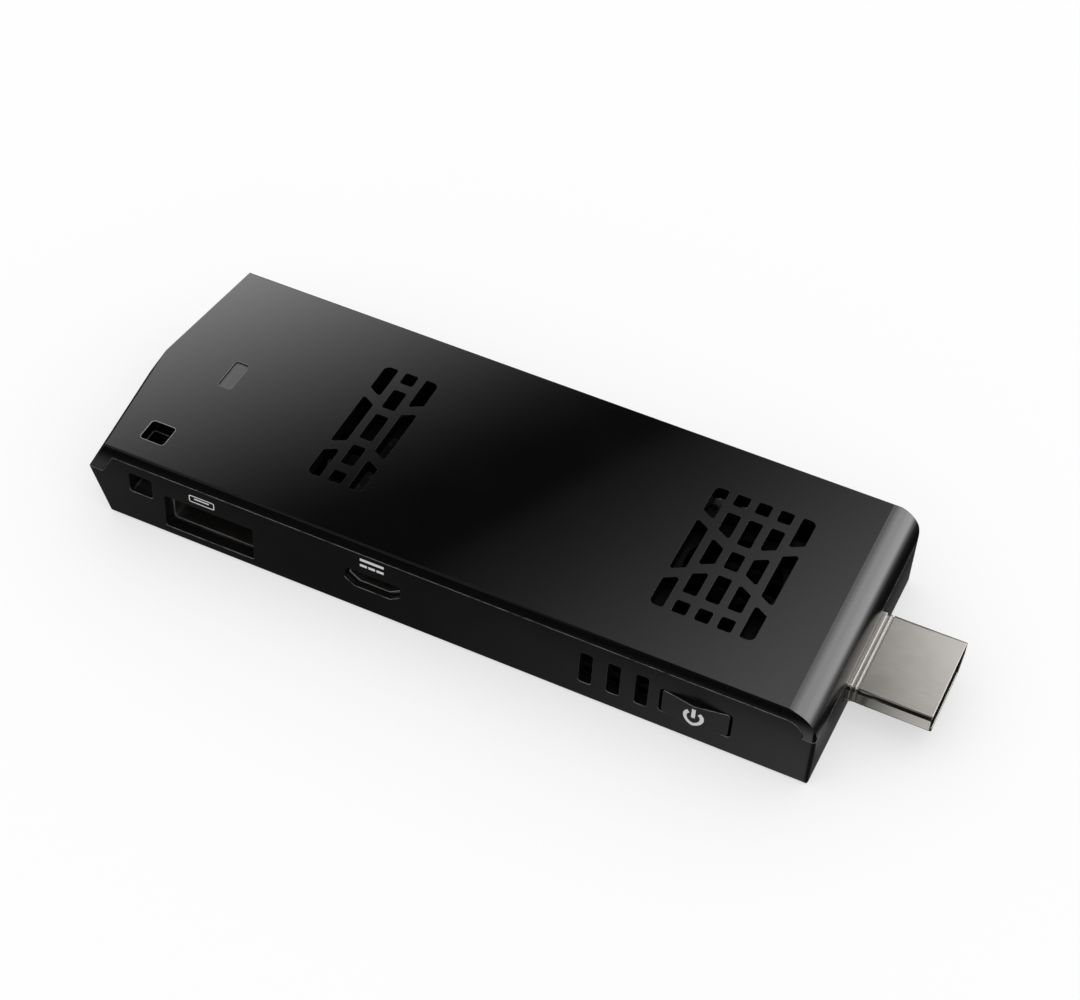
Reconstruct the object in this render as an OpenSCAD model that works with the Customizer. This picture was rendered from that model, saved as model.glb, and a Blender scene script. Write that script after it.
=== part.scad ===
// Stick computer with a plug at one end: cover, case, ports, button, board and fan.
// Millimetres. X runs from the nose to the plug, Y across, Z up from the underside.

/* [Case] */
// Length of the case from the nose ridge to the plug end
case_l = 103.4; // [102:0.1:112]
// Width of the case
case_w = 37.6; // [37:0.1:42]
// Height of the case
case_h = 12.5; // [12.2:0.1:15]
// Thickness of the cover's top
cover_t = 1.9; // [1.5:0.05:2.2]
// Thickness of the cover's two bent ends
cover_end_t = 1.65; // [1.4:0.05:1.9]
// Thickness of the side walls
wall_t = 1.7; // [1.5:0.05:1.9]
// Thickness of the floor
floor_t = 1.2; // [1:0.05:1.3]
// Gap that shows as the seam under the cover
seam_gap = 0.1; // [0.05:0.01:0.2]
// Radius over which the cover turns down at the plug end
end_r = 4; // [3:0.1:4.5]
// Inside radius of that turn
end_inner_r = 2.15; // [1.5:0.05:2.4]
// Height of the cover's lower edge at the plug end
end_seam_z = 8.2; // [7.6:0.1:8.4]
// How far the middle of the nose ridge stands ahead of its ends
nose_point = 2.15; // [1:0.05:3]
// How far the nose's top and bottom edges lie behind its ridge
nose_set = 2.8; // [2:0.1:3]
// Height of the nose ridge
nose_z = 7.4; // [7:0.1:8]
// Edge radius along the ridge
nose_r = 0.3; // [0.1:0.05:0.5]
// Edge radius along the top
top_edge_r = 0.2; // [0.1:0.05:0.4]
// Edge radius along the bottom
bottom_edge_r = 0.4; // [0.2:0.05:0.8]
// Radius of the upright corners at the plug end
corner_r = 0.5; // [0.3:0.05:1]
// Radius along the floor inside
floor_edge_r = 0.2; // [0.1:0.02:0.24]

/* [Snap hooks] */
// Width of a hook
hook_w = 5; // [4:0.1:6]
// Thickness of a hook
hook_t = 1.1; // [0.8:0.05:1.3]
// Height of a hook's end above the button's flange
hook_over = 0.3; // [0.2:0.05:0.5]
// Reach of a hook's barb
barb_reach = 0.5; // [0.3:0.05:0.6]
// Height of a hook's barb
barb_h = 0.8; // [0.6:0.05:1]
// Clearance of a hook from the wall
hook_gap = 0.12; // [0.08:0.01:0.2]
// Distance of the last hook from the plug end
hook_from_end = 13; // [12:0.1:14]
// Hooks along each side
hook_count = 4; // [2:1:4]

/* [Grilles] */
// Distance of the front grille's middle from the nose
front_grille_from_nose = 34.1; // [32:0.1:36]
// Distance of the rear grille's middle from the plug end
rear_grille_from_end = 18.58; // [18:0.02:20]
// Half length of a grille across the case
grille_half = 11.05; // [10:0.05:12]
// Distance between a grille's columns
grille_pitch = 3; // [2.8:0.05:3.2]
// Width of a column's holes
grille_hole_w = 1.92; // [1.6:0.02:2]
// Radius of a hole's corners
grille_hole_r = 0.35; // [0.2:0.05:0.5]
// Radius of a grille's own corners
grille_corner_r = 0.9; // [0.5:0.05:1]
// Thickness of a straight rib
rib_t = 1.4; // [1:0.05:1.6]
// Thickness of a slanted rib along its column
slant_t = 1.7; // [1.4:0.05:1.9]
// Slant of the slanted ribs in degrees
slant_angle = 30; // [20:1:38]
// Middle of the outer straight ribs
rib_outer_y = 8.24; // [8:0.02:8.6]
// Middle of the front grille's inner straight ribs
rib_front_y = 3.15; // [2.8:0.05:3.5]
// Middle of the rear grille's inner straight ribs
rib_rear_y = 2.22; // [2:0.02:2.5]
// Middle of the slanted ribs in the end columns
slant_end_y = 5.08; // [4.8:0.02:5.4]
// Middle of the slanted ribs in the columns beside the middle
slant_mid_y = 2.83; // [2.6:0.01:3]

/* [Lanyard passage] */
// Distance of the passage from the nose
lanyard_from_nose = 9.9; // [9.5:0.05:10]
// Distance of the passage from the case's middle line
lanyard_y = 13.8; // [13.6:0.05:14.2]
// Width of the passage
lanyard_w = 3.5; // [3:0.05:3.6]
// Lowest point of the passage
lanyard_z = 5.57; // [5:0.05:6]
// Height of the hole in the side
lanyard_h = 3.35; // [3:0.05:3.6]
// Radius of the hole's corners
lanyard_r = 0.5; // [0.3:0.05:0.8]
// Thickness of the passage's walls
lanyard_wall = 0.9; // [0.7:0.05:1]

/* [Lamp window] */
// Distance of the lamp from the nose
lamp_from_nose = 13.15; // [13:0.05:14]
// Window along the case
lamp_w = 2; // [1.8:0.05:2.4]
// Window across the case
lamp_l = 5.1; // [4:0.05:6]
// Radius of the window's corners
lamp_r = 0.4; // [0.2:0.05:0.6]
// Depth of the window's face below the top
lamp_sink = 0.2; // [0.1:0.05:0.4]
// Clearance round the window's face
lamp_gap = 0.06; // [0.04:0.01:0.1]
// Reach of the flange under the cover
lamp_flange = 0.7; // [0.5:0.05:0.8]
// Thickness of that flange
lamp_flange_t = 0.7; // [0.5:0.05:1]
// Side of the light post
lamp_post = 1.6; // [1.2:0.05:1.8]
// Clearance of the post above the lamp
lamp_post_gap = 0.3; // [0.2:0.05:0.5]
// Length of the lamp
led_l = 1.6; // [1.2:0.1:2]
// Width of the lamp
led_w = 0.8; // [0.6:0.1:1.2]
// Height of the lamp
led_h = 0.6; // [0.4:0.05:0.8]

/* [Full-size port] */
// Distance of the port from the nose
usb_from_nose = 19.9; // [19.8:0.05:21]
// Width of the cut-out
usb_hole_w = 13.1; // [12.9:0.05:13.3]
// Height of the cut-out
usb_hole_h = 5.6; // [5.4:0.05:5.7]
// Radius of the cut-out's corners
usb_hole_r = 0.3; // [0.1:0.05:0.5]
// Width inside the metal shell
usb_in_w = 12.5; // [12.4:0.05:12.6]
// Height inside the metal shell
usb_in_h = 5.12; // [5:0.02:5.2]
// Thickness of the metal shell
usb_shell_t = 0.3; // [0.2:0.02:0.32]
// Inside corner radius of the metal shell
usb_shell_r = 0.4; // [0.2:0.05:0.6]
// Clearance of the rims behind the wall
rim_gap = 0.05; // [0.03:0.01:0.1]
// Depth of the metal shell
usb_depth = 13.8; // [13:0.1:14.2]
// Setback of the tongue behind the shell's rim
usb_tongue_set = 1.9; // [1.85:0.05:2.2]
// Width of the tongue
usb_tongue_w = 11.1; // [10:0.1:11.4]
// Thickness of the tongue
usb_tongue_t = 1.84; // [1.7:0.02:1.9]
// Clearance of the tongue under the shell's top
usb_tongue_gap = 0.3; // [0.25:0.05:0.5]
// Depth of the block that carries the tongue
usb_block_l = 2.6; // [2:0.1:3]
// Length of the ears on the board
usb_ear_l = 3; // [2.5:0.1:3.2]
// Reach of the ears on the board
usb_ear_w = 1.5; // [1.2:0.1:1.6]
// Width of a contact
usb_contact_w = 1; // [0.8:0.05:1.1]
// Thickness of a contact
usb_contact_t = 0.2; // [0.15:0.01:0.25]
// Distance of the inner contacts from the middle
usb_inner_x = 1; // [0.9:0.05:1.2]
// Distance of the outer contacts from the middle
usb_outer_x = 3.5; // [3.3:0.05:3.6]

/* [Power port] */
// Distance of the port from the nose
micro_from_nose = 43.7; // [43:0.1:44.5]
// Width of the metal shell
micro_w = 7.5; // [7.3:0.05:7.6]
// Height of the metal shell
micro_h = 2.5; // [2.4:0.05:2.6]
// Width of a slanted lower corner
micro_cut_w = 1.35; // [1.2:0.05:1.5]
// Height of a slanted lower corner
micro_cut_h = 0.95; // [0.8:0.05:1.1]
// Thickness of the metal shell
micro_t = 0.25; // [0.2:0.01:0.3]
// Corner radius of the metal shell
micro_r = 0.3; // [0.26:0.01:0.4]
// Clearance round the metal shell in the wall
micro_gap = 0.18; // [0.12:0.01:0.25]
// Depth of the metal shell
micro_depth = 5.1; // [5:0.05:5.6]
// Setback of the shell's rim behind the side
micro_set = 0.8; // [0.6:0.05:1]
// Setback of the tongue behind the shell's rim
micro_tongue_set = 0.6; // [0.4:0.05:0.8]
// Width of the tongue
micro_tongue_w = 4.4; // [4:0.05:4.6]
// Thickness of the tongue
micro_tongue_t = 0.6; // [0.5:0.02:0.7]
// Height of the tongue's underside above the port's middle
micro_tongue_rise = 0.2; // [0.15:0.01:0.25]
// Depth of the block that carries the tongue
micro_block_l = 1.1; // [0.8:0.05:1.4]
// Reach of the ears on the board
micro_ear_w = 2.2; // [2:0.1:2.4]
// Width of a contact
micro_contact_w = 0.3; // [0.2:0.02:0.4]
// Thickness of a contact
micro_contact_t = 0.15; // [0.1:0.01:0.18]
// Setback of a contact behind the tongue's tip
micro_contact_set = 0.3; // [0.2:0.05:0.4]
// Distance between contacts
micro_contact_pitch = 0.65; // [0.6:0.01:0.7]
// Number of contacts
micro_count = 5; // [4:1:5]

/* [Side slots] */
// Distance of the middle slot from the plug end
slots_from_end = 26.25; // [26:0.05:27]
// Width of a slot
slot_w = 1.75; // [1.4:0.05:2]
// Height of a slot
slot_h = 5.5; // [4.5:0.05:5.6]
// Height of a slot's middle
slot_z = 5.5; // [5:0.05:5.6]
// Distance between slots
slot_pitch = 3.77; // [3:0.01:3.9]
// Radius of a slot's corners
slot_r = 0.4; // [0.2:0.05:0.8]
// Slots in each side
slot_count = 3; // [1:1:3]

/* [Power button] */
// Distance of the button from the plug end
button_from_end = 15.3; // [15.2:0.05:15.6]
// Width of the button's cap
button_w = 8.8; // [8.4:0.05:9]
// Height of the button's cap
button_h = 4; // [3.6:0.05:4.1]
// Clearance of the cap at its two ends
button_end_gap = 0.42; // [0.1:0.02:0.5]
// Clearance of the cap above and below
button_gap = 0.15; // [0.1:0.01:0.2]
// Height of the cap's middle above the board
button_over_board = 0.95; // [0.9:0.05:1.1]
// How far the cap's ridge stands out
button_ridge = 0.75; // [0.4:0.05:1]
// Corner radius of the cap
button_r = 0.4; // [0.2:0.05:0.6]
// Travel of the button
button_travel = 0.3; // [0.2:0.05:0.35]
// Reach of the flange behind the wall
button_flange = 0.6; // [0.55:0.05:0.7]
// Thickness of that flange
button_flange_t = 0.7; // [0.5:0.05:0.8]
// Clearance of the flange behind the wall
button_back_gap = 0.05; // [0.03:0.01:0.1]
// Side of the nub behind the flange
button_nub = 1.6; // [1.2:0.1:1.8]
// Length of the nub
button_nub_l = 0.8; // [0.6:0.05:0.9]

/* [Switch] */
// Width of the switch
switch_w = 6; // [5:0.1:6.5]
// Depth of the switch
switch_l = 3.4; // [3:0.1:3.6]
// Height of the switch
switch_h = 2; // [1.9:0.05:2.4]
// Width of the stem
stem_w = 2; // [1.6:0.1:2.4]
// Height of the stem
stem_h = 1; // [0.8:0.05:1.1]
// Length of the stem that shows
stem_out = 0.6; // [0.5:0.05:0.8]
// Length of the stem inside the switch
stem_in = 1; // [0.8:0.05:1.2]
// Clearance round the stem
stem_gap = 0.08; // [0.05:0.01:0.12]

/* [Board] */
// Height of the board's upper face
board_z = 4.3; // [4.2:0.05:4.4]
// Thickness of the board
board_t = 1; // [0.8:0.05:1.1]
// Clearance round the board
board_gap = 0.4; // [0.3:0.05:0.5]
// Clearance of the board from the pieces sunk in it
notch_gap = 0.3; // [0.2:0.05:0.35]
// Diameter of a post under the board
post_d = 4; // [3.4:0.1:4.2]
// Diameter of a screw's shank
screw_d = 1.6; // [1.4:0.1:1.7]
// Diameter of a screw's head
screw_head_d = 3; // [2.6:0.1:3.2]
// Height of a screw's head
screw_head_h = 0.8; // [0.6:0.05:1]
// Clearance of a shank in a post
screw_gap = 0.06; // [0.04:0.01:0.1]
// Clearance of a shank in the board
screw_hole_gap = 0.15; // [0.1:0.01:0.25]
// Depth of a screw below the board
screw_bite = 1.8; // [1.5:0.05:1.9]
// Width of a screw's slot
screw_slot_w = 0.4; // [0.3:0.05:0.6]
// Depth of a screw's slot
screw_slot_h = 0.35; // [0.2:0.05:0.45]
// Distance of the nose post from the board's end
nose_post_in = 3.2; // [3:0.1:3.6]
// Distance of the nose post from the board's far side
nose_post_side = 5.6; // [5.2:0.1:6]
// Distance of the middle post from the nose
middle_post_from_nose = 33.7; // [33.2:0.1:34]
// Distance of the middle post from the board's near side
middle_post_side = 3.6; // [3.4:0.1:3.8]
// Distance of the far end post from the board's end
far_post_in = 2.8; // [2.6:0.1:3.2]
// Distance of the near end post from the board's end
near_post_in = 3.6; // [3.4:0.1:3.8]
// Distance of the two end posts from the board's sides
end_post_side = 3.2; // [3:0.1:3.6]

/* [Chips] */
// Distance of the processor from the plug end
chip_from_end = 44.65; // [44.4:0.05:45]
// Side of the processor's base
chip_w = 17; // [15:0.1:17.2]
// Thickness of the processor's base
chip_base_t = 0.5; // [0.4:0.05:0.6]
// Side of the processor's die
die_w = 11; // [9:0.1:12]
// Thickness of the processor's die
die_t = 0.5; // [0.4:0.05:0.6]
// Side of the thermal pad
pad_w = 14; // [12:0.1:15]
// Thickness of the thermal pad
pad_t = 0.5; // [0.4:0.05:0.6]
// Length of a memory chip
memory_l = 8; // [7:0.1:8.4]
// Width of a memory chip
memory_w = 11; // [10:0.1:11.4]
// Height of a memory chip
memory_h = 1; // [0.8:0.05:1.1]
// Length of the flash chip
flash_l = 11.5; // [10:0.1:12]
// Width of the flash chip
flash_w = 13; // [12:0.1:13.4]
// Height of the flash chip
flash_h = 1; // [0.8:0.05:1.1]
// Distance of the flash chip from the nose
flash_from_nose = 33.7; // [33.4:0.05:33.9]
// Distance of the power controller from the nose
power_from_nose = 9.25; // [9.2:0.05:9.4]
// Side of the power controller
power_w = 6; // [5:0.1:6.1]
// Height of the power controller
power_h = 0.9; // [0.7:0.05:1]
// Side of a coil
coil_w = 3; // [2.6:0.1:3.1]
// Height of a coil
coil_h = 1.5; // [1.2:0.05:1.8]
// Diameter of a coil's round top
coil_top_d = 2.2; // [1.8:0.1:2.6]
// Distance between coils
coil_pitch = 3.4; // [3.2:0.1:3.6]
// Coils in a row
coil_count = 3; // [1:1:3]
// Length of a crystal
crystal_l = 3.2; // [2.8:0.1:3.4]
// Width of a crystal
crystal_w = 2.5; // [2:0.1:2.6]
// Height of a crystal
crystal_h = 0.7; // [0.5:0.05:0.9]
// Length of a capacitor
capacitor_l = 1; // [0.8:0.05:1.2]
// Width of a capacitor
capacitor_w = 0.6; // [0.4:0.05:0.7]
// Height of a capacitor
capacitor_h = 0.5; // [0.4:0.05:0.6]
// Distance between capacitors
capacitor_pitch = 2; // [1.6:0.1:2.2]
// Distance of the capacitors from the board's near side
capacitor_in = 3.3; // [3:0.1:3.6]
// Capacitors in a row
capacitor_count = 8; // [2:1:8]
// Clearance between a chip and its neighbours
chip_gap = 3.5; // [3:0.1:3.6]

/* [Heat sink] */
// Thickness of the plate
sink_t = 1; // [0.8:0.05:1.2]
// Reach of the plate past the processor
sink_over = 1.5; // [1:0.1:2]
// Thickness of a fin
fin_t = 0.5; // [0.4:0.05:0.6]
// Distance between fins
fin_pitch = 1.62; // [1.4:0.02:1.66]
// Number of fins
fin_count = 7; // [4:1:7]
// Clearance of the fins under the cover
fin_top_gap = 0.7; // [0.5:0.05:1]
// Clearance of the fins from the wall and the fan
fin_gap = 0.5; // [0.4:0.05:0.6]
// Width of the ears that take the screws
sink_ear = 3.6; // [3.4:0.1:3.8]
// Distance of the near screw from the fins' outer end
sink_ear_set = 3.24; // [3.1:0.02:3.4]

/* [Wireless] */
// Distance of the wireless board from the nose
radio_from_nose = 21.65; // [21.4:0.05:21.8]
// Side of the wireless board
radio_w = 12; // [11:0.1:12.4]
// Thickness of the wireless board
radio_t = 0.6; // [0.5:0.05:0.8]
// Width of the shield along the case
radio_shield_w = 9; // [8:0.1:9.2]
// Height of the shield
radio_shield_h = 1.2; // [1:0.05:1.4]
// Thickness of the shield
radio_shield_t = 0.2; // [0.15:0.01:0.25]
// Thickness of an aerial
aerial_t = 0.25; // [0.2:0.01:0.3]
// Clearance of an aerial under the hooks
aerial_gap = 0.3; // [0.2:0.05:0.5]
// Height of an aerial's lower edge above the board
aerial_over = 0.4; // [0.3:0.05:0.5]
// Length of the far aerial
far_aerial_l = 21.5; // [19:0.1:22]
// Length of the near aerial
near_aerial_l = 11; // [9:0.1:11.4]
// Diameter of a lead
lead_d = 0.8; // [0.6:0.05:0.9]
// Diameter of a lead's plug
lead_plug_d = 1.8; // [1.5:0.05:2]
// Height of a lead's plug
lead_plug_h = 1; // [0.8:0.05:1.2]
// Distance of the lead plugs from the wireless board's middle
lead_plug_y = 3; // [2.6:0.1:3.4]

/* [Plug] */
// Length of the plug outside the case
plug_out = 11.1; // [10.8:0.05:11.5]
// Width of the plug
plug_w = 13.9; // [13.8:0.02:14]
// Height of the plug
plug_h = 4.45; // [4.4:0.01:4.55]
// Height of the plug's upright sides
plug_side_h = 2.3; // [2:0.05:2.5]
// Width of the plug's lower face
plug_low_w = 10.3; // [10:0.1:11]
// Corner radius of the plug
plug_r = 0.5; // [0.46:0.01:0.55]
// Offset of the plug from the case's middle line
plug_y = -0.6; // [-0.8:0.05:0.6]
// Height of the plug's middle above the board
plug_over_board = 0.1; // [0:0.02:0.2]
// Thickness of the plug's shell
plug_t = 0.4; // [0.3:0.02:0.44]
// Depth of the grooves at the plug's foot
groove_d = 0.2; // [0.15:0.01:0.22]
// Length of the collar outside the case
collar_l = 0.55; // [0.4:0.05:0.7]
// Width of each groove and of the ring between them
groove_w = 0.3; // [0.25:0.01:0.35]
// Height of the collar over the grooves
collar_t = 0.32; // [0.25:0.01:0.4]
// Clearance of the collar in the wall
collar_gap = 0.15; // [0.1:0.01:0.2]
// Depth of the plug's shell inside the case
plug_in = 6.1; // [5.8:0.05:6.2]
// Width of the slot in the plug
plug_slot_w = 11.6; // [11.4:0.05:11.8]
// Height of the slot in the plug
plug_slot_h = 1.9; // [1.8:0.02:2]
// Depth of that slot
plug_slot_l = 6.5; // [6:0.1:7]
// Setback of the insulator behind the plug's rim
plug_set = 0.5; // [0.3:0.05:0.8]
// Clearance of the insulator in the shell
plug_gap = 0.04; // [0.02:0.01:0.05]
// Width of a contact
plug_contact_w = 0.3; // [0.25:0.01:0.4]
// Thickness of a contact
plug_contact_t = 0.15; // [0.12:0.01:0.2]
// Distance between contacts
plug_pitch = 1; // [0.9:0.01:1.05]
// Contacts in the upper row, one more than in the lower
plug_count = 10; // [6:1:10]
// Setback of a contact behind the front of its seat
contact_set = 0.6; // [0.4:0.05:0.8]
// Clearance round a contact in the insulator
contact_gap = 0.05; // [0.03:0.01:0.08]
// Length of a contact's foot on the board
contact_foot = 1.4; // [1:0.1:1.5]
// Length of the ears on the board
plug_ear_l = 3.5; // [3:0.1:3.8]
// Reach of the ears on the board
plug_ear_w = 1.6; // [1.4:0.1:1.8]
// Thickness of the ears on the board
plug_ear_t = 0.3; // [0.2:0.05:0.4]

/* [Card slot] */
// Distance of the card slot from the nose
card_from_nose = 47.2; // [46.5:0.1:48]
// Width of the socket
card_w = 14; // [13.6:0.1:14.2]
// Height of the socket
card_h = 1.55; // [1.45:0.01:1.6]
// Depth of the socket
card_l = 14.6; // [14:0.1:15]
// Thickness of the metal shell
card_t = 0.2; // [0.15:0.01:0.22]
// Thickness of the socket's base
card_base_t = 0.45; // [0.4:0.01:0.5]
// Width of the slot in the side
card_hole_w = 12; // [11.8:0.05:12.4]
// Height of the slot in the side
card_hole_h = 1.3; // [1.2:0.02:1.34]
// Radius of that slot's corners
card_hole_r = 0.3; // [0.1:0.05:0.5]
// Width of a contact
card_contact_w = 0.6; // [0.5:0.05:0.8]
// Thickness of a contact
card_contact_t = 0.12; // [0.1:0.01:0.15]
// Distance between contacts
card_pitch = 1.1; // [1:0.01:1.2]
// Number of contacts
card_count = 8; // [6:1:9]

/* [Fan] */
// Radius over the blades
rotor_r = 7.3; // [6.8:0.05:7.6]
// Radius of the hub
hub_r = 4; // [3.8:0.02:4.2]
// Thickness of the hub's wall and top
hub_t = 0.45; // [0.35:0.01:0.5]
// Number of blades
blade_count = 11; // [7:1:13]
// Thickness of a blade
blade_t = 0.45; // [0.35:0.01:0.6]
// Setback of the blades from the hub's lower rim
blade_set = 0.3; // [0.2:0.05:0.5]
// Radius of a blade's bend
blade_bend = 5; // [4.5:0.1:8]
// Clearance of the rotor above and below
rotor_gap = 0.5; // [0.4:0.05:0.6]
// Clearance of the rotor from the housing's walls
scroll_gap = 1.1; // [0.8:0.05:1.2]
// Extra room on the side where the air gathers
scroll_w = 3.5; // [3:0.1:3.8]
// Thickness of the housing's walls
fan_wall = 0.8; // [0.6:0.05:0.9]
// Thickness of the housing's base
fan_base_t = 0.6; // [0.5:0.05:0.8]
// Thickness of the housing's upper plate
fan_plate_t = 0.5; // [0.4:0.05:0.6]
// Radius of the air inlet
inlet_r = 6.4; // [5.5:0.1:6.8]
// Clearance of the fan under the cover
fan_top_gap = 0.5; // [0.4:0.05:0.6]
// Outside corner radius of the housing
fan_r = 1.5; // [1:0.1:2]
// Width of the air outlet
outlet_w = 9.9; // [9:0.1:10]
// Diameter of the ears that take the screws
fan_ear_d = 3.4; // [3.2:0.1:3.6]
// Distance of the far ear from the shaft along the case
far_ear_x = 4; // [3.8:0.1:4.2]
// Reach of the far ear's hole past the housing
far_ear_out = 1.6; // [1.5:0.05:1.8]
// Distance of the near ear from the housing's end
near_ear_in = 1.2; // [1:0.05:1.4]
// Reach of the near ear's hole past the housing
near_ear_out = 1.8; // [1.6:0.05:1.9]
// Radius of the shaft
shaft_r = 0.6; // [0.5:0.02:0.7]
// Running clearance of the shaft
shaft_gap = 0.03; // [0.02:0.01:0.06]
// Clearance under the shaft's foot
shaft_foot_gap = 0.06; // [0.04:0.01:0.1]
// Thickness of the bearing's wall
bearing_t = 0.8; // [0.6:0.05:0.9]
// Clearance of the coil pack round the bearing
stator_fit = 0.05; // [0.03:0.01:0.08]
// Outside radius of the coil pack
stator_r = 2.55; // [2.4:0.02:2.6]
// Number of the coil pack's poles
pole_count = 4; // [3:1:6]
// Width of a gap between poles
pole_gap = 0.7; // [0.5:0.05:0.8]
// Height of the seat under the coil pack
stator_seat = 0.4; // [0.3:0.05:0.5]
// Thickness of the magnet
magnet_t = 0.45; // [0.35:0.01:0.5]
// Clearance of the magnet in the hub
magnet_fit = 0.04; // [0.02:0.01:0.06]
// Length of the fan's connector
fan_plug_l = 4; // [3.6:0.1:4.4]
// Width of the fan's connector
fan_plug_w = 3; // [2.6:0.1:3.2]
// Height of the fan's connector
fan_plug_h = 1.6; // [1.4:0.05:1.8]
// Length of a fan lead outside the housing
fan_lead_l = 1.75; // [1.5:0.05:1.8]
// Diameter of a fan lead
fan_lead_d = 0.6; // [0.5:0.05:0.7]
// Distance between fan leads
fan_lead_pitch = 1; // [0.9:0.05:1.1]
// Number of fan leads
fan_lead_count = 3; // [2:1:3]

/* [Hidden] */
$fn = 64;
// Oversize of a cutting tool, and a length that reaches past the whole case
over = 1;
reach = 2 * case_l;
// Lap of the grille holes' roundings over their edges
hole_lap = 0.0005;

// Ends of the case along X
x_nose = -(case_l + plug_out) / 2;
x_end = x_nose + case_l;
x_tip = x_end + plug_out;
side_y = case_w / 2;
inner_y = side_y - wall_t;
cover_z = case_h - cover_t;
board_low_z = board_z - board_t;

// Slopes of the nose
nose_turn = atan(nose_point / side_y);
upper_slope = nose_set / (case_h - nose_z);
lower_slope = nose_set / nose_z;
upper_stretch = sqrt(1 + upper_slope * upper_slope);
lower_stretch = sqrt(1 + lower_slope * lower_slope);

// Places of the pieces along X
lanyard_x = x_nose + lanyard_from_nose;
lamp_x = x_nose + lamp_from_nose;
usb_x = x_nose + usb_from_nose;
front_grille_x = x_nose + front_grille_from_nose;
micro_x = x_nose + micro_from_nose;
card_x = x_nose + card_from_nose;
slots_x = x_end - slots_from_end;
fan_x = x_end - rear_grille_from_end;
button_x = x_end - button_from_end;
chip_x = x_end - chip_from_end;

// Board outline
board_x0 = x_nose + nose_point + nose_set + 2 * board_gap;
board_x1 = x_end - wall_t - board_gap;
board_y = inner_y - board_gap;

// Full-size port
usb_z = board_z;
usb_w = usb_in_w + 2 * usb_shell_t;
usb_h = usb_in_h + 2 * usb_shell_t;
usb_front_y = -inner_y + rim_gap;
usb_back_y = usb_front_y + usb_depth;
usb_tongue_z = usb_z + usb_in_h / 2 - usb_tongue_gap - usb_tongue_t;
usb_contact_x = [usb_inner_x, usb_outer_x];
usb_ear_y = (usb_front_y + usb_back_y) / 2 + usb_ear_l;

// Power port
micro_z = board_z + micro_h / 2;
micro_front_y = -side_y + micro_set;
micro_back_y = micro_front_y + micro_depth;
micro_tongue_z = micro_z + micro_tongue_rise;
micro_ear_x = micro_w / 2 - micro_cut_w;

// Button and switch
button_z = board_z + button_over_board;
flange_y = -inner_y + button_back_gap;
nub_y = flange_y + button_flange_t;
stem_y = nub_y + button_nub_l;
switch_y = stem_y + stem_out;
button_flange_w = button_w + 2 * (button_end_gap + button_flange);
button_flange_h = button_h + 2 * (button_gap + button_flange);
button_notch_y = stem_y + button_travel;
hook_z = button_z + button_flange_h / 2 + hook_over;

// Plug
plug_z = board_z + plug_over_board;
plug_back_x = x_end - plug_in;
plug_block_x = plug_back_x - plug_t;
plug_leg_x = plug_block_x - 2 * plug_contact_t;
plug_board_x = plug_leg_x - plug_contact_t;
plug_slot_x = x_tip - plug_set - plug_slot_l;
plug_contact_x = x_tip - plug_set - contact_set;
ring_x = x_end + collar_l + groove_w;
barrel_x = ring_x + 2 * groove_w;

// Card slot
card_front_y = inner_y - rim_gap;
card_back_y = card_front_y - card_l;
card_z = board_low_z - card_h;

// Processor, heat sink and fan
chip_top_z = board_z + chip_base_t + die_t;
sink_z = chip_top_z + pad_t;
sink_top_z = sink_z + sink_t;
fan_top_z = cover_z - fan_top_gap;
fan_deck_z = board_z + fan_base_t;
fan_lid_z = fan_top_z - fan_plate_t;
fan_x1 = fan_x + rotor_r + scroll_gap + fan_wall;
fan_x0 = fan_x - rotor_r - scroll_gap - scroll_w - fan_wall;
fan_y = rotor_r + scroll_gap + fan_wall;
outlet_x1 = fan_x0 + fan_wall + outlet_w;
fins_w = (fin_count - 1) * fin_pitch + fin_t;
fins_x = slots_x;
fins_y0 = -inner_y + fin_gap;
fins_y1 = -fan_y - fin_gap;
sink_x0 = chip_x - chip_w / 2 - sink_over;
sink_x1 = chip_x + chip_w / 2 + sink_ear;
hub_z0 = fan_deck_z + rotor_gap;
hub_z1 = fan_lid_z - rotor_gap;
bearing_r = shaft_r + shaft_gap + bearing_t;
bearing_z1 = hub_z1 - hub_t - rotor_gap;
stator_z0 = fan_deck_z + stator_seat;
stator_z1 = bearing_z1 - stator_seat;

// Wireless board and memory
radio_x = x_nose + radio_from_nose;
radio_y = board_y - radio_w / 2 - board_gap;
radio_strip_x = radio_x + radio_w / 2 - lead_plug_d / 2 - board_gap;
lead_z = board_z + radio_t + lead_plug_h + lead_d / 2;
memory_size = [memory_l, memory_w, memory_h];
memory_x = chip_x - chip_w / 2 - chip_gap - memory_l / 2;
near_memory_y = micro_back_y + contact_gap + contact_foot + notch_gap + memory_w / 2;
far_memory_y = near_memory_y + memory_w + 2 * board_gap;
flash_x = x_nose + flash_from_nose;
power_x = x_nose + power_from_nose;
power_y = board_y - nose_post_side - post_d / 2 - board_gap - power_w / 2;
coil_y = power_y - power_w / 2 - board_gap - coil_w / 2;
aerial_z = board_z + aerial_over;
aerial_top_z = hook_z - aerial_gap;
far_aerial_x = radio_strip_x + lead_d;
near_aerial_x = usb_x + usb_w / 2 + near_aerial_l / 2 + board_gap;

// Places of the screws
board_posts = [
    [board_x0 + nose_post_in, board_y - nose_post_side],
    [x_nose + middle_post_from_nose, -board_y + middle_post_side],
    [board_x1 - far_post_in, board_y - end_post_side],
    [board_x1 - near_post_in, -board_y + end_post_side]
];
sink_posts = [
    [sink_x1 - sink_ear / 2, chip_w / 2 + sink_ear],
    [sink_x1 - sink_ear / 2, fins_y0 + sink_ear_set]
];
fan_posts = [
    [fan_x - far_ear_x, fan_y + far_ear_out],
    [fan_x1 - near_ear_in, -fan_y - near_ear_out]
];

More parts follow.
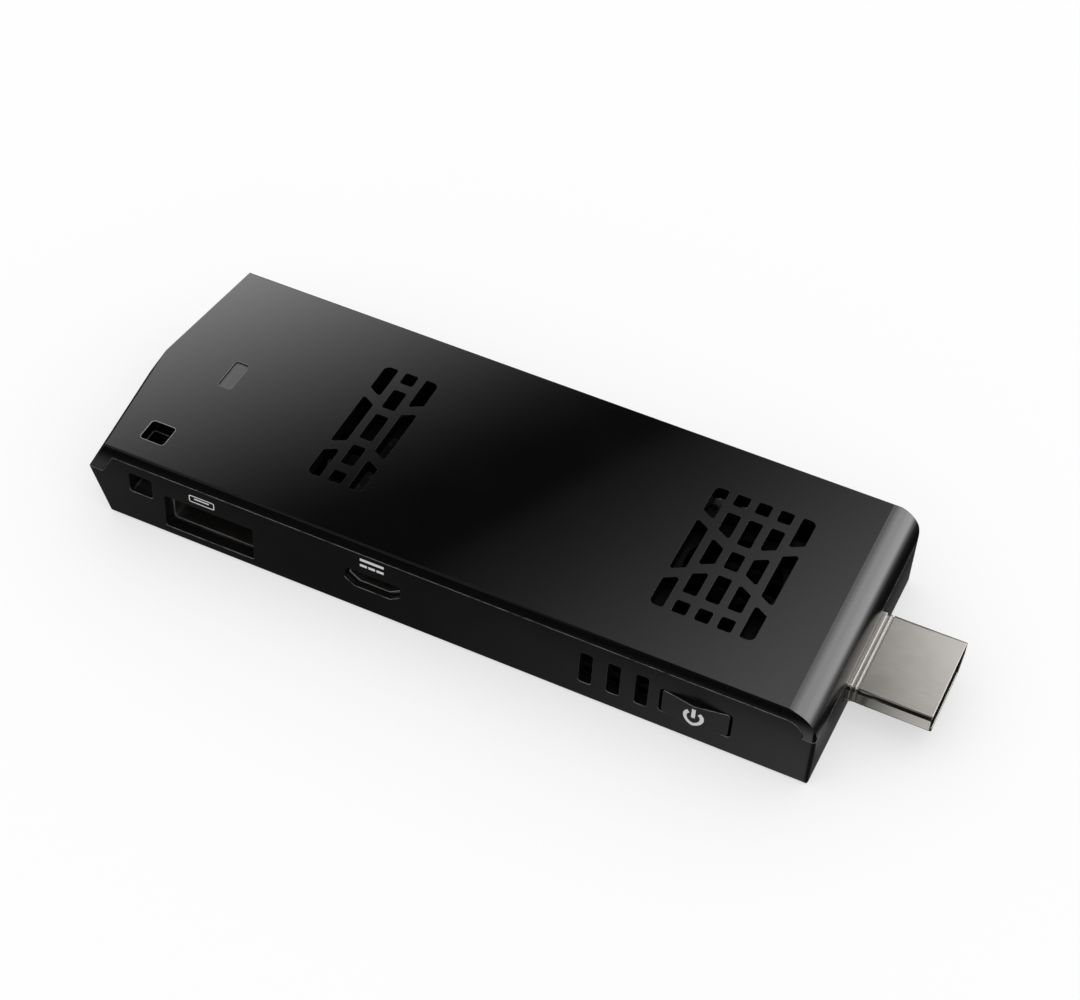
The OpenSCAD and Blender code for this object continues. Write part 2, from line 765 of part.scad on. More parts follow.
// Place of the fan's connector beyond the housing
fan_plug_x = fan_x0 + fan_r + fan_plug_l / 2;
fan_plug_y = fan_y + fan_lead_l + fan_plug_w / 2;

// Ribs of each grille column from the middle one outwards: place along it, and 1 where it slants
front_columns = [
    [[rib_outer_y, 0], [rib_front_y, 0]],
    [[slant_end_y, 1]]
];
rear_columns = [
    [[rib_outer_y, 0], [rib_rear_y, 0]],
    [[rib_outer_y, 0], [slant_mid_y, 1]],
    [[slant_end_y, 1]]
];

// Places of the hooks along one side
hook_pitch = (x_end - hook_from_end - usb_x) / (hook_count - 1);
hook_x = [for (i = [0 : hook_count - 1]) usb_x + i * hook_pitch];

// Places of a row of things along its middle
function row(count, pitch) = [for (k = [0 : count - 1]) (k - (count - 1) / 2) * pitch];

// Four corners of a rectangle
function corners(x0, x1, y0, y1) = [[x0, y0], [x1, y0], [x1, y1], [x0, y1]];

// Points along the two edges that meet at a corner, and the middle of its rounding
function unit(v) = v / norm(v);
function to_last(p, i) = unit(p[(i + len(p) - 1) % len(p)] - p[i]);
function to_next(p, i) = unit(p[(i + 1) % len(p)] - p[i]);
function half_angle(p, i) = acos(to_last(p, i) * to_next(p, i)) / 2;
function rounding_ends(p, r, i) =
    let (t = r / tan(half_angle(p, i)))
    [p[i] + to_last(p, i) * t, p[i] + to_next(p, i) * t];
function rounding_middle(p, r, i) =
    p[i] + unit(to_last(p, i) + to_next(p, i)) * r / sin(half_angle(p, i));

// Polygon with its own radius at each corner, and a lap of the roundings over slanted edges
module soft_polygon(p, r, lap = 0) {
    polygon([for (i = [0 : len(p) - 1]) each rounding_ends(p, r[i], i)]);
    for (i = [0 : len(p) - 1])
        if (r[i] > 0)
            translate(rounding_middle(p, r[i], i))
                circle(r[i] + lap);
}

module soft_box(w, h, r) {
    soft_polygon(corners(-w / 2, w / 2, -h / 2, h / 2), [r, r, r, r]);
}

// Block between two limits on each axis
module block(x, y, z) {
    translate([x[0], y[0], z[0]])
        cube([x[1] - x[0], y[1] - y[0], z[1] - z[0]]);
}

// Block that stands on a height, or hangs from it, over a middle point
module chip_on(x, y, z, size) {
    translate([x - size[0] / 2, y - size[1] / 2, z])
        cube(size);
}

// Outline drawn in Y and Z, carried along X between two limits
module along_x(x0, x1) {
    translate([x0, 0, 0])
        rotate([90, 0, 90])
            linear_extrude(x1 - x0)
                children();
}

// Outline drawn in X and Z, carried along Y between two limits
module along_y(y0, y1) {
    translate([0, y1, 0])
        rotate([90, 0, 0])
            linear_extrude(y1 - y0)
                children();
}

module both_sides() {
    children();
    mirror([0, 1, 0])
        children();
}

// Outline drawn behind the nose ridge, carried along both of its halves
module behind_nose() {
    intersection() {
        translate([x_nose, 0, 0])
            rotate([0, 0, nose_turn])
                along_y(-case_l, case_l)
                    children();
        translate([x_nose, 0, 0])
            rotate([0, 0, -nose_turn])
                along_y(-case_l, case_l)
                    children();
    }
}

// Outer form of the closed case
module case_form() {
    high = case_h + over;
    intersection() {
        along_x(-reach, reach)
            soft_polygon(
                corners(-side_y, side_y, 0, case_h),
                [bottom_edge_r, bottom_edge_r, top_edge_r, top_edge_r]
            );
        along_y(-reach, reach)
            soft_polygon(corners(-reach, x_end, 0, case_h), [0, bottom_edge_r, end_r, 0]);
        translate([0, 0, -over])
            linear_extrude(high + over)
                soft_polygon(corners(-reach, x_end, -side_y, side_y), [0, corner_r, corner_r, 0]);
        behind_nose()
            soft_polygon(
                [
                    [0, nose_z],
                    [lower_slope * (nose_z + over), -over],
                    [reach, -over],
                    [reach, high],
                    [upper_slope * (high - nose_z), high]
                ],
                [nose_r, 0, 0, 0, 0]
            );
    }
}

// Space under the cover, drawn in by a gap
module under_cover(gap) {
    inset = (cover_end_t + gap) * upper_stretch;
    seam_z = nose_z - gap;
    intersection() {
        along_y(-reach, reach)
            soft_polygon(
                [
                    [-reach, -over],
                    [x_end + over, -over],
                    [x_end + over, end_seam_z - gap],
                    [x_end - cover_end_t - gap, end_seam_z - gap],
                    [x_end - cover_end_t - gap, cover_z - gap],
                    [-reach, cover_z - gap]
                ],
                [0, 0, 0, 0, end_inner_r, 0]
            );
        behind_nose()
            polygon([
                [-over, -over],
                [reach, -over],
                [reach, case_h],
                [inset + upper_slope * (case_h - nose_z), case_h],
                [inset + upper_slope * (seam_z - nose_z), seam_z],
                [-over, seam_z]
            ]);
    }
}

// Hollow of the case, open upwards
module case_hollow() {
    inset = wall_t * lower_stretch;
    high = case_h + over;
    intersection() {
        along_x(-reach, x_end - wall_t)
            soft_polygon(corners(-inner_y, inner_y, floor_t, high), [floor_edge_r, floor_edge_r, 0, 0]);
        behind_nose()
            polygon([
                [inset + lower_slope * nose_z, 0],
                [reach, 0],
                [reach, high],
                [inset, high],
                [inset, nose_z]
            ]);
    }
}

// Limits of a column's upper ribs, from the end of the grille to its middle: height and slant
function rib_limits(ribs) = [
    [grille_half, 0],
    for (r = ribs)
        let (t = r[1] > 0 ? slant_t : rib_t)
            each [[r[0] + t / 2, r[1]], [r[0] - t / 2, r[1]]]
];

// One hole of a column between a lower and an upper limit
module grille_hole(low, high, lean, outer_r) {
    w = grille_hole_w / 2;
    a = low[1] * lean * tan(slant_angle) * w;
    b = high[1] * lean * tan(slant_angle) * w;
    soft_polygon(
        [[-w, low[0] - a], [w, low[0] + a], [w, high[0] + b], [-w, high[0] - b]],
        [
            grille_hole_r,
            grille_hole_r,
            lean > 0 ? max(outer_r, grille_hole_r) : grille_hole_r,
            lean < 0 ? max(outer_r, grille_hole_r) : grille_hole_r
        ],
        hole_lap
    );
}

// One column: paired upper and lower holes, and the hole across the middle
module grille_column(ribs, lean, last) {
    limits = rib_limits(ribs);
    inner = limits[len(limits) - 1];
    for (i = [0 : 2 : len(limits) - 3])
        both_sides()
            grille_hole(limits[i + 1], limits[i], lean, i == 0 && last ? grille_corner_r : 0);
    grille_hole([-inner[0], -inner[1]], inner, lean, 0);
}

// Columns to both sides of the middle one, each with its own ribs
module grille(columns) {
    last = len(columns) - 1;
    for (k = [-last : last])
        translate([k * grille_pitch, 0])
            grille_column(columns[abs(k)], sign(k), abs(k) == last);
}

// Hook that hangs from the cover beside the far wall, grown by a clearance for its pocket
module hook_barb(grow) {
    z = hook_z;
    y = inner_y - hook_gap;
    translate([-hook_w / 2 - grow, 0, 0])
        rotate([90, 0, 90])
            linear_extrude(hook_w + 2 * grow)
                polygon([
                    [y - hook_t / 2, z - grow],
                    [y, z - grow],
                    [y + barb_reach + grow, z + barb_h / 2],
                    [y + barb_reach + grow, z + barb_h + grow],
                    [y - hook_t / 2, z + barb_h + grow]
                ]);
}

module hook() {
    y = inner_y - hook_gap;
    block([-hook_w / 2, hook_w / 2], [y - hook_t, y], [hook_z, cover_z + cover_t / 2]);
    hook_barb(0);
}

module top_cover() {
    color("#1b1b1c") {
        difference() {
            case_form();
            under_cover(0);
            translate([front_grille_x, 0, cover_z - over])
                linear_extrude(cover_t + 2 * over)
                    grille(front_columns);
            translate([fan_x, 0, cover_z - over])
                linear_extrude(cover_t + 2 * over)
                    grille(rear_columns);
            translate([lamp_x, 0, cover_z - over])
                linear_extrude(cover_t + 2 * over)
                    soft_box(lamp_w, lamp_l, lamp_r);
            translate([lanyard_x, -lanyard_y, cover_z - over])
                linear_extrude(cover_t + 2 * over)
                    soft_box(lanyard_w, lanyard_w, lanyard_r);
        }
        for (x = hook_x)
            both_sides()
                translate([x, 0, 0])
                    hook();
    }
}

// Walls round the bent passage that a strap runs through
module lanyard_walls() {
    w = lanyard_w / 2 + lanyard_wall;
    block(
        [lanyard_x - w, lanyard_x + w],
        [-inner_y - wall_t / 2, -lanyard_y + w],
        [lanyard_z - lanyard_wall, cover_z - seam_gap]
    );
}

module lanyard_passage() {
    w = lanyard_w / 2;
    translate([lanyard_x, 0, lanyard_z + lanyard_h / 2])
        along_y(-side_y - over, -lanyard_y)
            soft_box(lanyard_w, lanyard_h, lanyard_r);
    block([lanyard_x - w, lanyard_x + w], [-lanyard_y - w, -lanyard_y + w], [lanyard_z, case_h]);
}

// Outline of the power port, wide side up, drawn in or grown
module micro_outline(grow) {
    w = micro_w / 2 + grow;
    h = micro_h / 2 + grow;
    r = micro_r + grow;
    soft_polygon(
        [
            [-w + micro_cut_w, -h],
            [w - micro_cut_w, -h],
            [w, -h + micro_cut_h],
            [w, h],
            [-w, h],
            [-w, -h + micro_cut_h]
        ],
        [r, r, r, r, r, r]
    );
}

// Outline of the plug, wide side up, drawn in by an inset
module plug_outline(inset) {
    run = (plug_w - plug_low_w) / 2;
    rise = plug_h - plug_side_h;
    slope = norm([run, rise]);
    low_w = plug_low_w / 2 - inset * (slope - run) / rise;
    w = plug_w / 2 - inset;
    knee = (rise * (run - inset) + inset * slope) / run - plug_h / 2;
    h = plug_h / 2 - inset;
    r = plug_r - inset;
    soft_polygon(
        [[-low_w, -h], [low_w, -h], [w, knee], [w, h], [-w, h], [-w, knee]],
        [r, r, r, r, r, r]
    );
}

// Outline of the plug carried along X
module plug_form(inset, x0, x1) {
    translate([0, plug_y, plug_z])
        along_x(x0, x1)
            plug_outline(inset);
}

module post(p) {
    translate([p[0], p[1], floor_t / 2])
        cylinder(h = board_low_z - floor_t / 2, d = post_d);
}

module post_hole(p) {
    translate([p[0], p[1], board_low_z - screw_bite - screw_gap])
        cylinder(h = screw_bite + over, r = screw_d / 2 + screw_gap);
}

module bottom_case() {
    color("#232324")
        difference() {
            union() {
                difference() {
                    intersection() {
                        case_form();
                        under_cover(seam_gap);
                    }
                    case_hollow();
                }
                lanyard_walls();
                for (p = concat(board_posts, sink_posts, fan_posts))
                    post(p);
            }
            lanyard_passage();
            for (p = concat(board_posts, sink_posts, fan_posts))
                post_hole(p);
            for (x = hook_x)
                both_sides()
                    translate([x, 0, 0])
                        hook_barb(hook_gap);
            translate([usb_x, 0, usb_z])
                along_y(-side_y - over, -inner_y + over)
                    soft_box(usb_hole_w, usb_hole_h, usb_hole_r);
            translate([micro_x, 0, micro_z])
                along_y(-side_y - over, -inner_y + over)
                    micro_outline(micro_gap);
            translate([button_x, 0, button_z])
                along_y(-side_y - over, -inner_y + over)
                    soft_box(
                        button_w + 2 * button_end_gap,
                        button_h + 2 * button_gap,
                        button_r + button_gap
                    );
            for (x = row(slot_count, slot_pitch))
                both_sides()
                    translate([slots_x + x, 0, slot_z])
                        along_y(-side_y - over, -inner_y + over)
                            soft_box(slot_w, slot_h, slot_r);
            translate([card_x, 0, card_z + card_t + card_hole_h / 2])
                along_y(inner_y - over, side_y + over)
                    soft_box(card_hole_w, card_hole_h, card_hole_r);
            plug_form(groove_d - collar_t - collar_gap, x_end - wall_t - over, x_end + over);
        }
}

module light_pipe() {
    w = lamp_w - 2 * lamp_gap;
    l = lamp_l - 2 * lamp_gap;
    flange_z = cover_z - lamp_flange_t;
    post_z = board_z + led_h + lamp_post_gap;
    color("#8f9294") {
        translate([lamp_x, 0, flange_z])
            linear_extrude(case_h - lamp_sink - flange_z)
                soft_box(w, l, lamp_r - lamp_gap);
        translate([lamp_x, 0, flange_z])
            linear_extrude(lamp_flange_t)
                soft_box(lamp_w + 2 * lamp_flange, lamp_l + 2 * lamp_flange, lamp_r + lamp_flange);
        block(
            [lamp_x - lamp_post / 2, lamp_x + lamp_post / 2],
            [-lamp_post / 2, lamp_post / 2],
            [post_z, flange_z + lamp_flange_t / 2]
        );
    }
}

module status_led() {
    color("#d9d7c8")
        chip_on(lamp_x, 0, board_z, [led_l, led_w, led_h]);
}

// Cap with two faces that meet in an upright ridge, a flange behind the wall and a nub
module power_button() {
    side_slope = 2 * button_ridge / button_w;
    color("#262627")
        translate([button_x, 0, button_z]) {
            intersection() {
                translate([0, 0, -button_h])
                    linear_extrude(2 * button_h)
                        polygon([
                            [-button_w / 2 - over, -side_y + side_slope * over],
                            [0, -side_y - button_ridge],
                            [button_w / 2 + over, -side_y + side_slope * over],
                            [button_w / 2 + over, flange_y + button_flange_t],
                            [-button_w / 2 - over, flange_y + button_flange_t]
                        ]);
                along_y(-side_y - over, flange_y + button_flange_t / 2)
                    soft_box(button_w, button_h, button_r);
            }
            along_y(flange_y, nub_y)
                soft_box(button_flange_w, button_flange_h, button_r);
            along_y(flange_y, stem_y)
                soft_box(button_nub, button_nub, button_r);
        }
}

module switch_stem() {
    color("#3a3a3c")
        translate([button_x, 0, button_z])
            block(
                [-stem_w / 2, stem_w / 2],
                [stem_y, switch_y + stem_in],
                [-stem_h / 2, stem_h / 2]
            );
}

module switch_body() {
    w = stem_w / 2 + stem_gap;
    h = stem_h / 2 + stem_gap;
    color("#b9b9b4")
        difference() {
            block(
                [button_x - switch_w / 2, button_x + switch_w / 2],
                [switch_y, switch_y + switch_l],
                [board_z, board_z + switch_h]
            );
            block(
                [button_x - w, button_x + w],
                [switch_y - over, switch_y + stem_in + button_travel + stem_gap],
                [button_z - h, button_z + h]
            );
        }
}

module main_board() {
    low = board_low_z - over;
    high = board_z + over;
    wall = lanyard_w / 2 + lanyard_wall + notch_gap;
    color("#1f5a36")
        difference() {
            block([board_x0, board_x1], [-board_y, board_y], [board_low_z, board_z]);
            block(
                [board_x0 - over, lanyard_x + wall],
                [-board_y - over, -lanyard_y + wall],
                [low, high]
            );
            block(
                [usb_x - usb_w / 2 - notch_gap, usb_x + usb_w / 2 + notch_gap],
                [-board_y - over, usb_back_y + notch_gap],
                [low, high]
            );
            block(
                [button_x - button_flange_w / 2 - notch_gap, button_x + button_flange_w / 2 + notch_gap],
                [-board_y - over, button_notch_y],
                [low, high]
            );
            block(
                [plug_board_x, board_x1 + over],
                [plug_y - plug_w / 2 - notch_gap, plug_y + plug_w / 2 + notch_gap],
                [low, high]
            );
            for (p = concat(board_posts, sink_posts, fan_posts))
                translate([p[0], p[1], low])
                    cylinder(h = high - low, r = screw_d / 2 + screw_hole_gap);
        }
}

// Slotted screw whose head rests on a height
module screw(p, seat_z) {
    translate([p[0], p[1], 0])
        difference() {
            union() {
                translate([0, 0, board_low_z - screw_bite])
                    cylinder(h = seat_z - board_low_z + screw_bite + screw_head_h / 2, d = screw_d);
                translate([0, 0, seat_z])
                    cylinder(h = screw_head_h, d = screw_head_d);
            }
            translate([0, 0, seat_z + screw_head_h])
                cube([screw_head_d + over, screw_slot_w, 2 * screw_slot_h], center = true);
        }
}

module board_screws() {
    color("#9a9a9c")
        for (p = board_posts)
            screw(p, board_z);
}

module sink_screws() {
    color("#9a9a9c")
        for (p = sink_posts)
            screw(p, sink_top_z);
}

module fan_screws() {
    color("#9a9a9c")
        for (p = fan_posts)
            screw(p, board_z + fan_wall);
}

module processor() {
    color("#2c4a3b")
        chip_on(chip_x, 0, board_z, [chip_w, chip_w, chip_base_t]);
    color("#4b4d52")
        chip_on(chip_x, 0, board_z + chip_base_t / 2, [die_w, die_w, chip_base_t / 2 + die_t]);
}

module thermal_pad() {
    color("#8aa0b4")
        chip_on(chip_x, 0, chip_top_z, [pad_w, pad_w, pad_t]);
}

// Plate over the processor with an arm to the fins at the side slots
module heat_sink() {
    ear_y = sink_posts[0][1] + sink_ear / 2;
    color("#a8aaad")
        difference() {
            union() {
                translate([0, 0, sink_z])
                    linear_extrude(sink_t)
                        polygon([
                            [sink_x0, -chip_w / 2 - sink_over],
                            [sink_x1 - 2 * sink_ear, -chip_w / 2 - sink_over],
                            [sink_x1 - sink_ear, fins_y0],
                            [fins_x + fins_w / 2, fins_y0],
                            [fins_x + fins_w / 2, fins_y1],
                            [sink_x1, fins_y1],
                            [sink_x1, ear_y],
                            [sink_x1 - sink_ear, ear_y],
                            [sink_x1 - sink_ear, chip_w / 2 + sink_over],
                            [sink_x0, chip_w / 2 + sink_over]
                        ]);
                for (k = [0 : fin_count - 1])
                    translate([fins_x - fins_w / 2 + k * fin_pitch, 0, 0])
                        block([0, fin_t], [fins_y0, fins_y1], [sink_z, cover_z - fin_top_gap]);
            }
            for (p = sink_posts)
                translate([p[0], p[1], sink_z - over])
                    cylinder(h = sink_t + 2 * over, r = screw_d / 2 + screw_hole_gap);
        }
}

module memory_chips() {
    color("#202022") {
        for (y = [near_memory_y, far_memory_y])
            chip_on(memory_x, y, board_z, memory_size);
        for (x = [0, memory_l + 2 * board_gap])
            chip_on(chip_x + x, near_memory_y, board_low_z - memory_h, memory_size);
    }
}

module flash_chip() {
    color("#202022")
        chip_on(flash_x, flash_w / 2, board_low_z - flash_h, [flash_l, flash_w, flash_h]);
}

module power_controller() {
    color("#202022")
        chip_on(power_x, power_y, board_z, [power_w, power_w, power_h]);
}

module power_inductors() {
    color("#4a4644")
        for (k = [0 : coil_count - 1])
            translate([power_x, coil_y - k * coil_pitch, board_z]) {
                chip_on(0, 0, 0, [coil_w, coil_w, coil_h / 2]);
                cylinder(h = coil_h, d = coil_top_d);
            }
}

module crystals() {
    y = chip_w / 2 + sink_over + crystal_w / 2;
    color("#bfc0c0")
        for (s = [-1, 1])
            chip_on(chip_x + s * crystal_l, y, board_z, [crystal_l, crystal_w, crystal_h]);
}

module capacitors() {
    color("#9c8366")
        for (x = row(capacitor_count, capacitor_pitch))
            chip_on(
                chip_x + x,
                -board_y + capacitor_in,
                board_low_z - capacitor_h,
                [capacitor_l, capacitor_w, capacitor_h]
            );
}

module wireless_board() {
    color("#1d3f5c")
        chip_on(radio_x, radio_y, board_z, [radio_w, radio_w, radio_t]);
}

module wireless_shield() {
    x = radio_x - (radio_w - radio_shield_w) / 2;
    w = radio_shield_w - 2 * radio_shield_t;
    l = radio_w - 2 * radio_shield_t;
    z = board_z + radio_t;
    color("#b4b4b0")
        difference() {
            chip_on(x, radio_y, z, [radio_shield_w, radio_w, radio_shield_h]);
            chip_on(x, radio_y, z - over, [w, l, radio_shield_h + over - radio_shield_t]);
        }
}

module antenna_far() {
    color("#c79a4a")
        block(
            [far_aerial_x - far_aerial_l, far_aerial_x],
            [inner_y - aerial_t, inner_y],
            [aerial_z, aerial_top_z]
        );
}

module antenna_near() {
    color("#c79a4a")
        block(
            [near_aerial_x - near_aerial_l / 2, near_aerial_x + near_aerial_l / 2],
            [-inner_y, -inner_y + aerial_t],
            [aerial_z, aerial_top_z]
        );
}

// Lead from its plug on the wireless board to a place on an aerial
module lead(y, end_x, end_y) {
    run = [end_x - radio_strip_x, end_y - y];
    translate([radio_strip_x, y, board_z + radio_t])
        cylinder(h = lead_plug_h + lead_d / 2, d = lead_plug_d);
    intersection() {
        translate([radio_strip_x, y, lead_z])
            rotate([0, 90, atan2(run[1], run[0])])
                cylinder(h = norm(run) + over, d = lead_d);
        block([-reach, reach], [aerial_t - inner_y, inner_y - aerial_t], [board_z, cover_z]);
    }
}

module antenna_leads() {
    color("#303033") {
        lead(radio_y + lead_plug_y, radio_strip_x, inner_y);
        lead(radio_y - lead_plug_y, near_aerial_x, -inner_y);
    }
}

// Ears at both sides of a metal shell, folded out to lie on the board
module ears(x, half, out, y, t) {
    for (s = [0, 1])
        translate([x, 0, 0])
            mirror([s, 0, 0])
                block([half, half + out], y, [board_z, board_z + t]);
}

module plug_shell() {
    half = plug_w / 2 - (plug_t + groove_d) / 2;
    color("#a8a39b") {
        difference() {
            union() {
                plug_form(groove_d, plug_back_x, barrel_x + over);
                plug_form(0, ring_x, ring_x + groove_w);
                plug_form(0, barrel_x, x_tip);
            }
            plug_form(plug_t, plug_back_x - over, x_tip + over);
        }
        translate([0, plug_y, 0])
            rotate([0, 0, -90])
                ears(0, half, plug_ear_w, [plug_back_x, plug_back_x + plug_ear_l], plug_ear_t);
    }
}

module plug_collar() {
    color("#8e8a84")
        difference() {
            plug_form(groove_d - collar_t, x_end - wall_t, x_end + collar_l);
            plug_form(groove_d - plug_gap, x_end - wall_t - over, x_end + over);
        }
}

// Middle of each contact's height: under the slot's top, or over its bottom
function plug_contact_z(s) = plug_z + s * (plug_slot_h - plug_contact_t) / 2;
// Places of the upper row and of the lower row, which has one contact less
function plug_row(s) = row(s > 0 ? plug_count : plug_count - 1, plug_pitch);

// Straight run of a contact inside the plug, grown for its channel
module contact_run(y, z, x0, grow) {
    block(
        [x0, plug_contact_x],
        [y - plug_contact_w / 2 - grow, y + plug_contact_w / 2 + grow],
        [z - plug_contact_t / 2 - grow, z + plug_contact_t / 2 + grow]
    );
}

module plug_insulator() {
    color("#17171a")
        difference() {
            plug_form(plug_t + plug_gap, plug_block_x, x_tip - plug_set);
            block(
                [plug_slot_x, x_tip + over],
                [plug_y - plug_slot_w / 2, plug_y + plug_slot_w / 2],
                [plug_z - plug_slot_h / 2, plug_z + plug_slot_h / 2]
            );
            for (s = [-1, 1])
                for (y = plug_row(s))
                    contact_run(plug_y + y, plug_contact_z(s), plug_block_x - over, contact_gap);
        }
}

// Contacts: a run in the plug, a leg past the board's edge and a foot on its face
module plug_contacts() {
    t = plug_contact_t;
    color("#c9a85a")
        for (s = [-1, 1])
            for (y = plug_row(s)) {
                z = plug_contact_z(s) + s * t / 2;
                foot_z = s > 0 ? board_z : board_low_z - t;
                w = [plug_y + y - plug_contact_w / 2, plug_y + y + plug_contact_w / 2];
                contact_run(plug_y + y, plug_contact_z(s), plug_leg_x, 0);
                block([plug_leg_x, plug_leg_x + t], w, [min(z, foot_z), max(z, foot_z + t)]);
                block([plug_board_x - contact_foot, plug_leg_x + t], w, [foot_z, foot_z + t]);
            }
}

module usb_shell() {
    color("#b9b6ae") {
        translate([usb_x, 0, usb_z])
            along_y(usb_front_y, usb_back_y)
                difference() {
                    soft_box(usb_w, usb_h, usb_shell_r + usb_shell_t);
                    soft_box(usb_in_w, usb_in_h, usb_shell_r);
                }
        ears(usb_x, (usb_w - usb_shell_t) / 2, usb_ear_w, [usb_ear_y, usb_ear_y + usb_ear_l], usb_shell_t);
    }
}

// Straight run of a port's contact under its tongue, grown for its channel
module usb_contact_run(x, y1, grow) {
    block(
        [x - usb_contact_w / 2 - grow, x + usb_contact_w / 2 + grow],
        [usb_front_y + usb_tongue_set + contact_set, y1],
        [usb_tongue_z - usb_contact_t - grow, usb_tongue_z]
    );
}

module usb_tongue() {
    block_y = usb_back_y - usb_block_l;
    color("#17171a")
        difference() {
            union() {
                translate([usb_x, 0, usb_z])
                    along_y(block_y, usb_back_y)
                        soft_box(usb_in_w - 2 * plug_gap, usb_in_h - 2 * plug_gap, usb_shell_r - plug_gap);
                block(
                    [usb_x - usb_tongue_w / 2, usb_x + usb_tongue_w / 2],
                    [usb_front_y + usb_tongue_set, block_y + usb_block_l / 2],
                    [usb_tongue_z, usb_tongue_z + usb_tongue_t]
                );
            }
            for (s = [-1, 1])
                for (x = usb_contact_x)
                    usb_contact_run(usb_x + s * x, usb_back_y + over, contact_gap);
        }
}

module usb_contacts() {
    leg_y = usb_back_y + contact_gap;
    t = usb_contact_t;
    color("#c9a85a")
        for (s = [-1, 1])
            for (x = usb_contact_x) {
                w = [usb_x + s * x - usb_contact_w / 2, usb_x + s * x + usb_contact_w / 2];
                usb_contact_run(usb_x + s * x, leg_y + t, 0);
                block(w, [leg_y, leg_y + t], [board_z, usb_tongue_z]);
                block(w, [leg_y, usb_back_y + notch_gap + contact_foot], [board_z, board_z + t]);
            }
}

module micro_usb_shell() {
    ear_y = micro_back_y - 2 * micro_block_l;
    color("#b9b6ae") {
        translate([micro_x, 0, micro_z])
            along_y(micro_front_y, micro_back_y)
                difference() {
                    micro_outline(0);
                    micro_outline(-micro_t);
                }
        ears(micro_x, micro_ear_x, micro_ear_w, [ear_y, ear_y + micro_block_l], micro_t);
    }
}

module micro_contact_run(x, y1, grow) {
    block(
        [x - micro_contact_w / 2 - grow, x + micro_contact_w / 2 + grow],
        [micro_front_y + micro_tongue_set + micro_contact_set, y1],
        [micro_tongue_z - micro_contact_t - grow, micro_tongue_z]
    );
}

module micro_usb_tongue() {
    block_y = micro_back_y - micro_block_l;
    color("#17171a")
        difference() {
            union() {
                translate([micro_x, 0, micro_z])
                    along_y(block_y, micro_back_y)
                        micro_outline(-micro_t - plug_gap);
                block(
                    [micro_x - micro_tongue_w / 2, micro_x + micro_tongue_w / 2],
                    [micro_front_y + micro_tongue_set, block_y + micro_block_l / 2],
                    [micro_tongue_z, micro_tongue_z + micro_tongue_t]
                );
            }
            for (x = row(micro_count, micro_contact_pitch))
                micro_contact_run(micro_x + x, micro_back_y + over, contact_gap);
        }
}

module micro_usb_contacts() {
    leg_y = micro_back_y + contact_gap;
    t = micro_contact_t;
    color("#c9a85a")
        for (x = row(micro_count, micro_contact_pitch)) {
            w = [micro_x + x - micro_contact_w / 2, micro_x + x + micro_contact_w / 2];
            micro_contact_run(micro_x + x, leg_y + t, 0);
            block(w, [leg_y, leg_y + t], [board_z, micro_tongue_z]);
            block(w, [leg_y, leg_y + contact_foot], [board_z, board_z + t]);
        }
}

module card_shell() {
    color("#b9b6ae")
        difference() {
            block(
                [card_x - card_w / 2, card_x + card_w / 2],
                [card_back_y, card_front_y],
                [card_z, board_low_z]
            );
            block(
                [card_x - card_w / 2 + card_t, card_x + card_w / 2 - card_t],
                [card_back_y - over, card_front_y + over],
                [card_z + card_t, board_low_z + over]
            );
        }
}

module card_base() {
    w = card_w / 2 - card_t - plug_gap;
    color("#17171a")
        block(
            [card_x - w, card_x + w],
            [card_back_y + card_t, card_front_y - card_t],
            [board_low_z - card_base_t, board_low_z]
        );
}

module card_contacts() {
    z = board_low_z - card_base_t;
    t = card_contact_t;
    foot_y = card_back_y - contact_foot;
    color("#c9a85a")
        for (x = row(card_count, card_pitch)) {
            w = [card_x + x - card_contact_w / 2, card_x + x + card_contact_w / 2];
            block(w, [foot_y, (card_front_y + card_back_y) / 2], [z - t, z]);
            block(w, [foot_y, foot_y + t], [z - t, board_low_z]);
        }
}

// Outline of the fan's housing seen from above
module fan_outline(inset) {
    r = fan_r - inset;
    soft_polygon(
        corners(fan_x0 + inset, fan_x1 - inset, -fan_y + inset, fan_y - inset),
        [r, r, r, r]
    );
}

// Tray with an air outlet towards the side slots, a seat for the coils and two ears
module fan_housing() {
    color("#1c1c1e") {
        difference() {
            translate([0, 0, board_z])
                linear_extrude(fan_lid_z - board_z)
                    fan_outline(0);
            translate([0, 0, fan_deck_z])
                linear_extrude(fan_lid_z)
                    fan_outline(fan_wall);
            block(
                [fan_x0 + fan_wall, outlet_x1],
                [-fan_y - over, -fan_y + fan_wall + over],
                [fan_deck_z, fan_top_z]
            );
        }
        translate([fan_x, 0, fan_deck_z - fan_base_t / 2])
            difference() {
                cylinder(h = stator_seat + fan_base_t / 2, r = stator_r);
                translate([0, 0, fan_base_t / 2])
                    cylinder(h = stator_seat + over, r = bearing_r + stator_fit);
            }
        for (p = fan_posts)
            difference() {
                union() {
                    translate([p[0], p[1], board_z])
                        cylinder(h = fan_wall, d = fan_ear_d);
                    block(
                        [p[0] - fan_ear_d / 2, p[0] + fan_ear_d / 2],
                        p[1] > 0 ? [fan_y - fan_wall / 2, p[1]] : [p[1], -fan_y + fan_wall / 2],
                        [board_z, board_z + fan_wall]
                    );
                }
                translate([p[0], p[1], board_z - over])
                    cylinder(h = fan_wall + 2 * over, r = screw_d / 2 + screw_hole_gap);
            }
    }
}

module fan_plate() {
    color("#b0b1b3")
        translate([0, 0, fan_lid_z])
            difference() {
                linear_extrude(fan_plate_t)
                    fan_outline(0);
                translate([fan_x, 0, -over])
                    cylinder(h = fan_plate_t + 2 * over, r = inlet_r);
            }
}

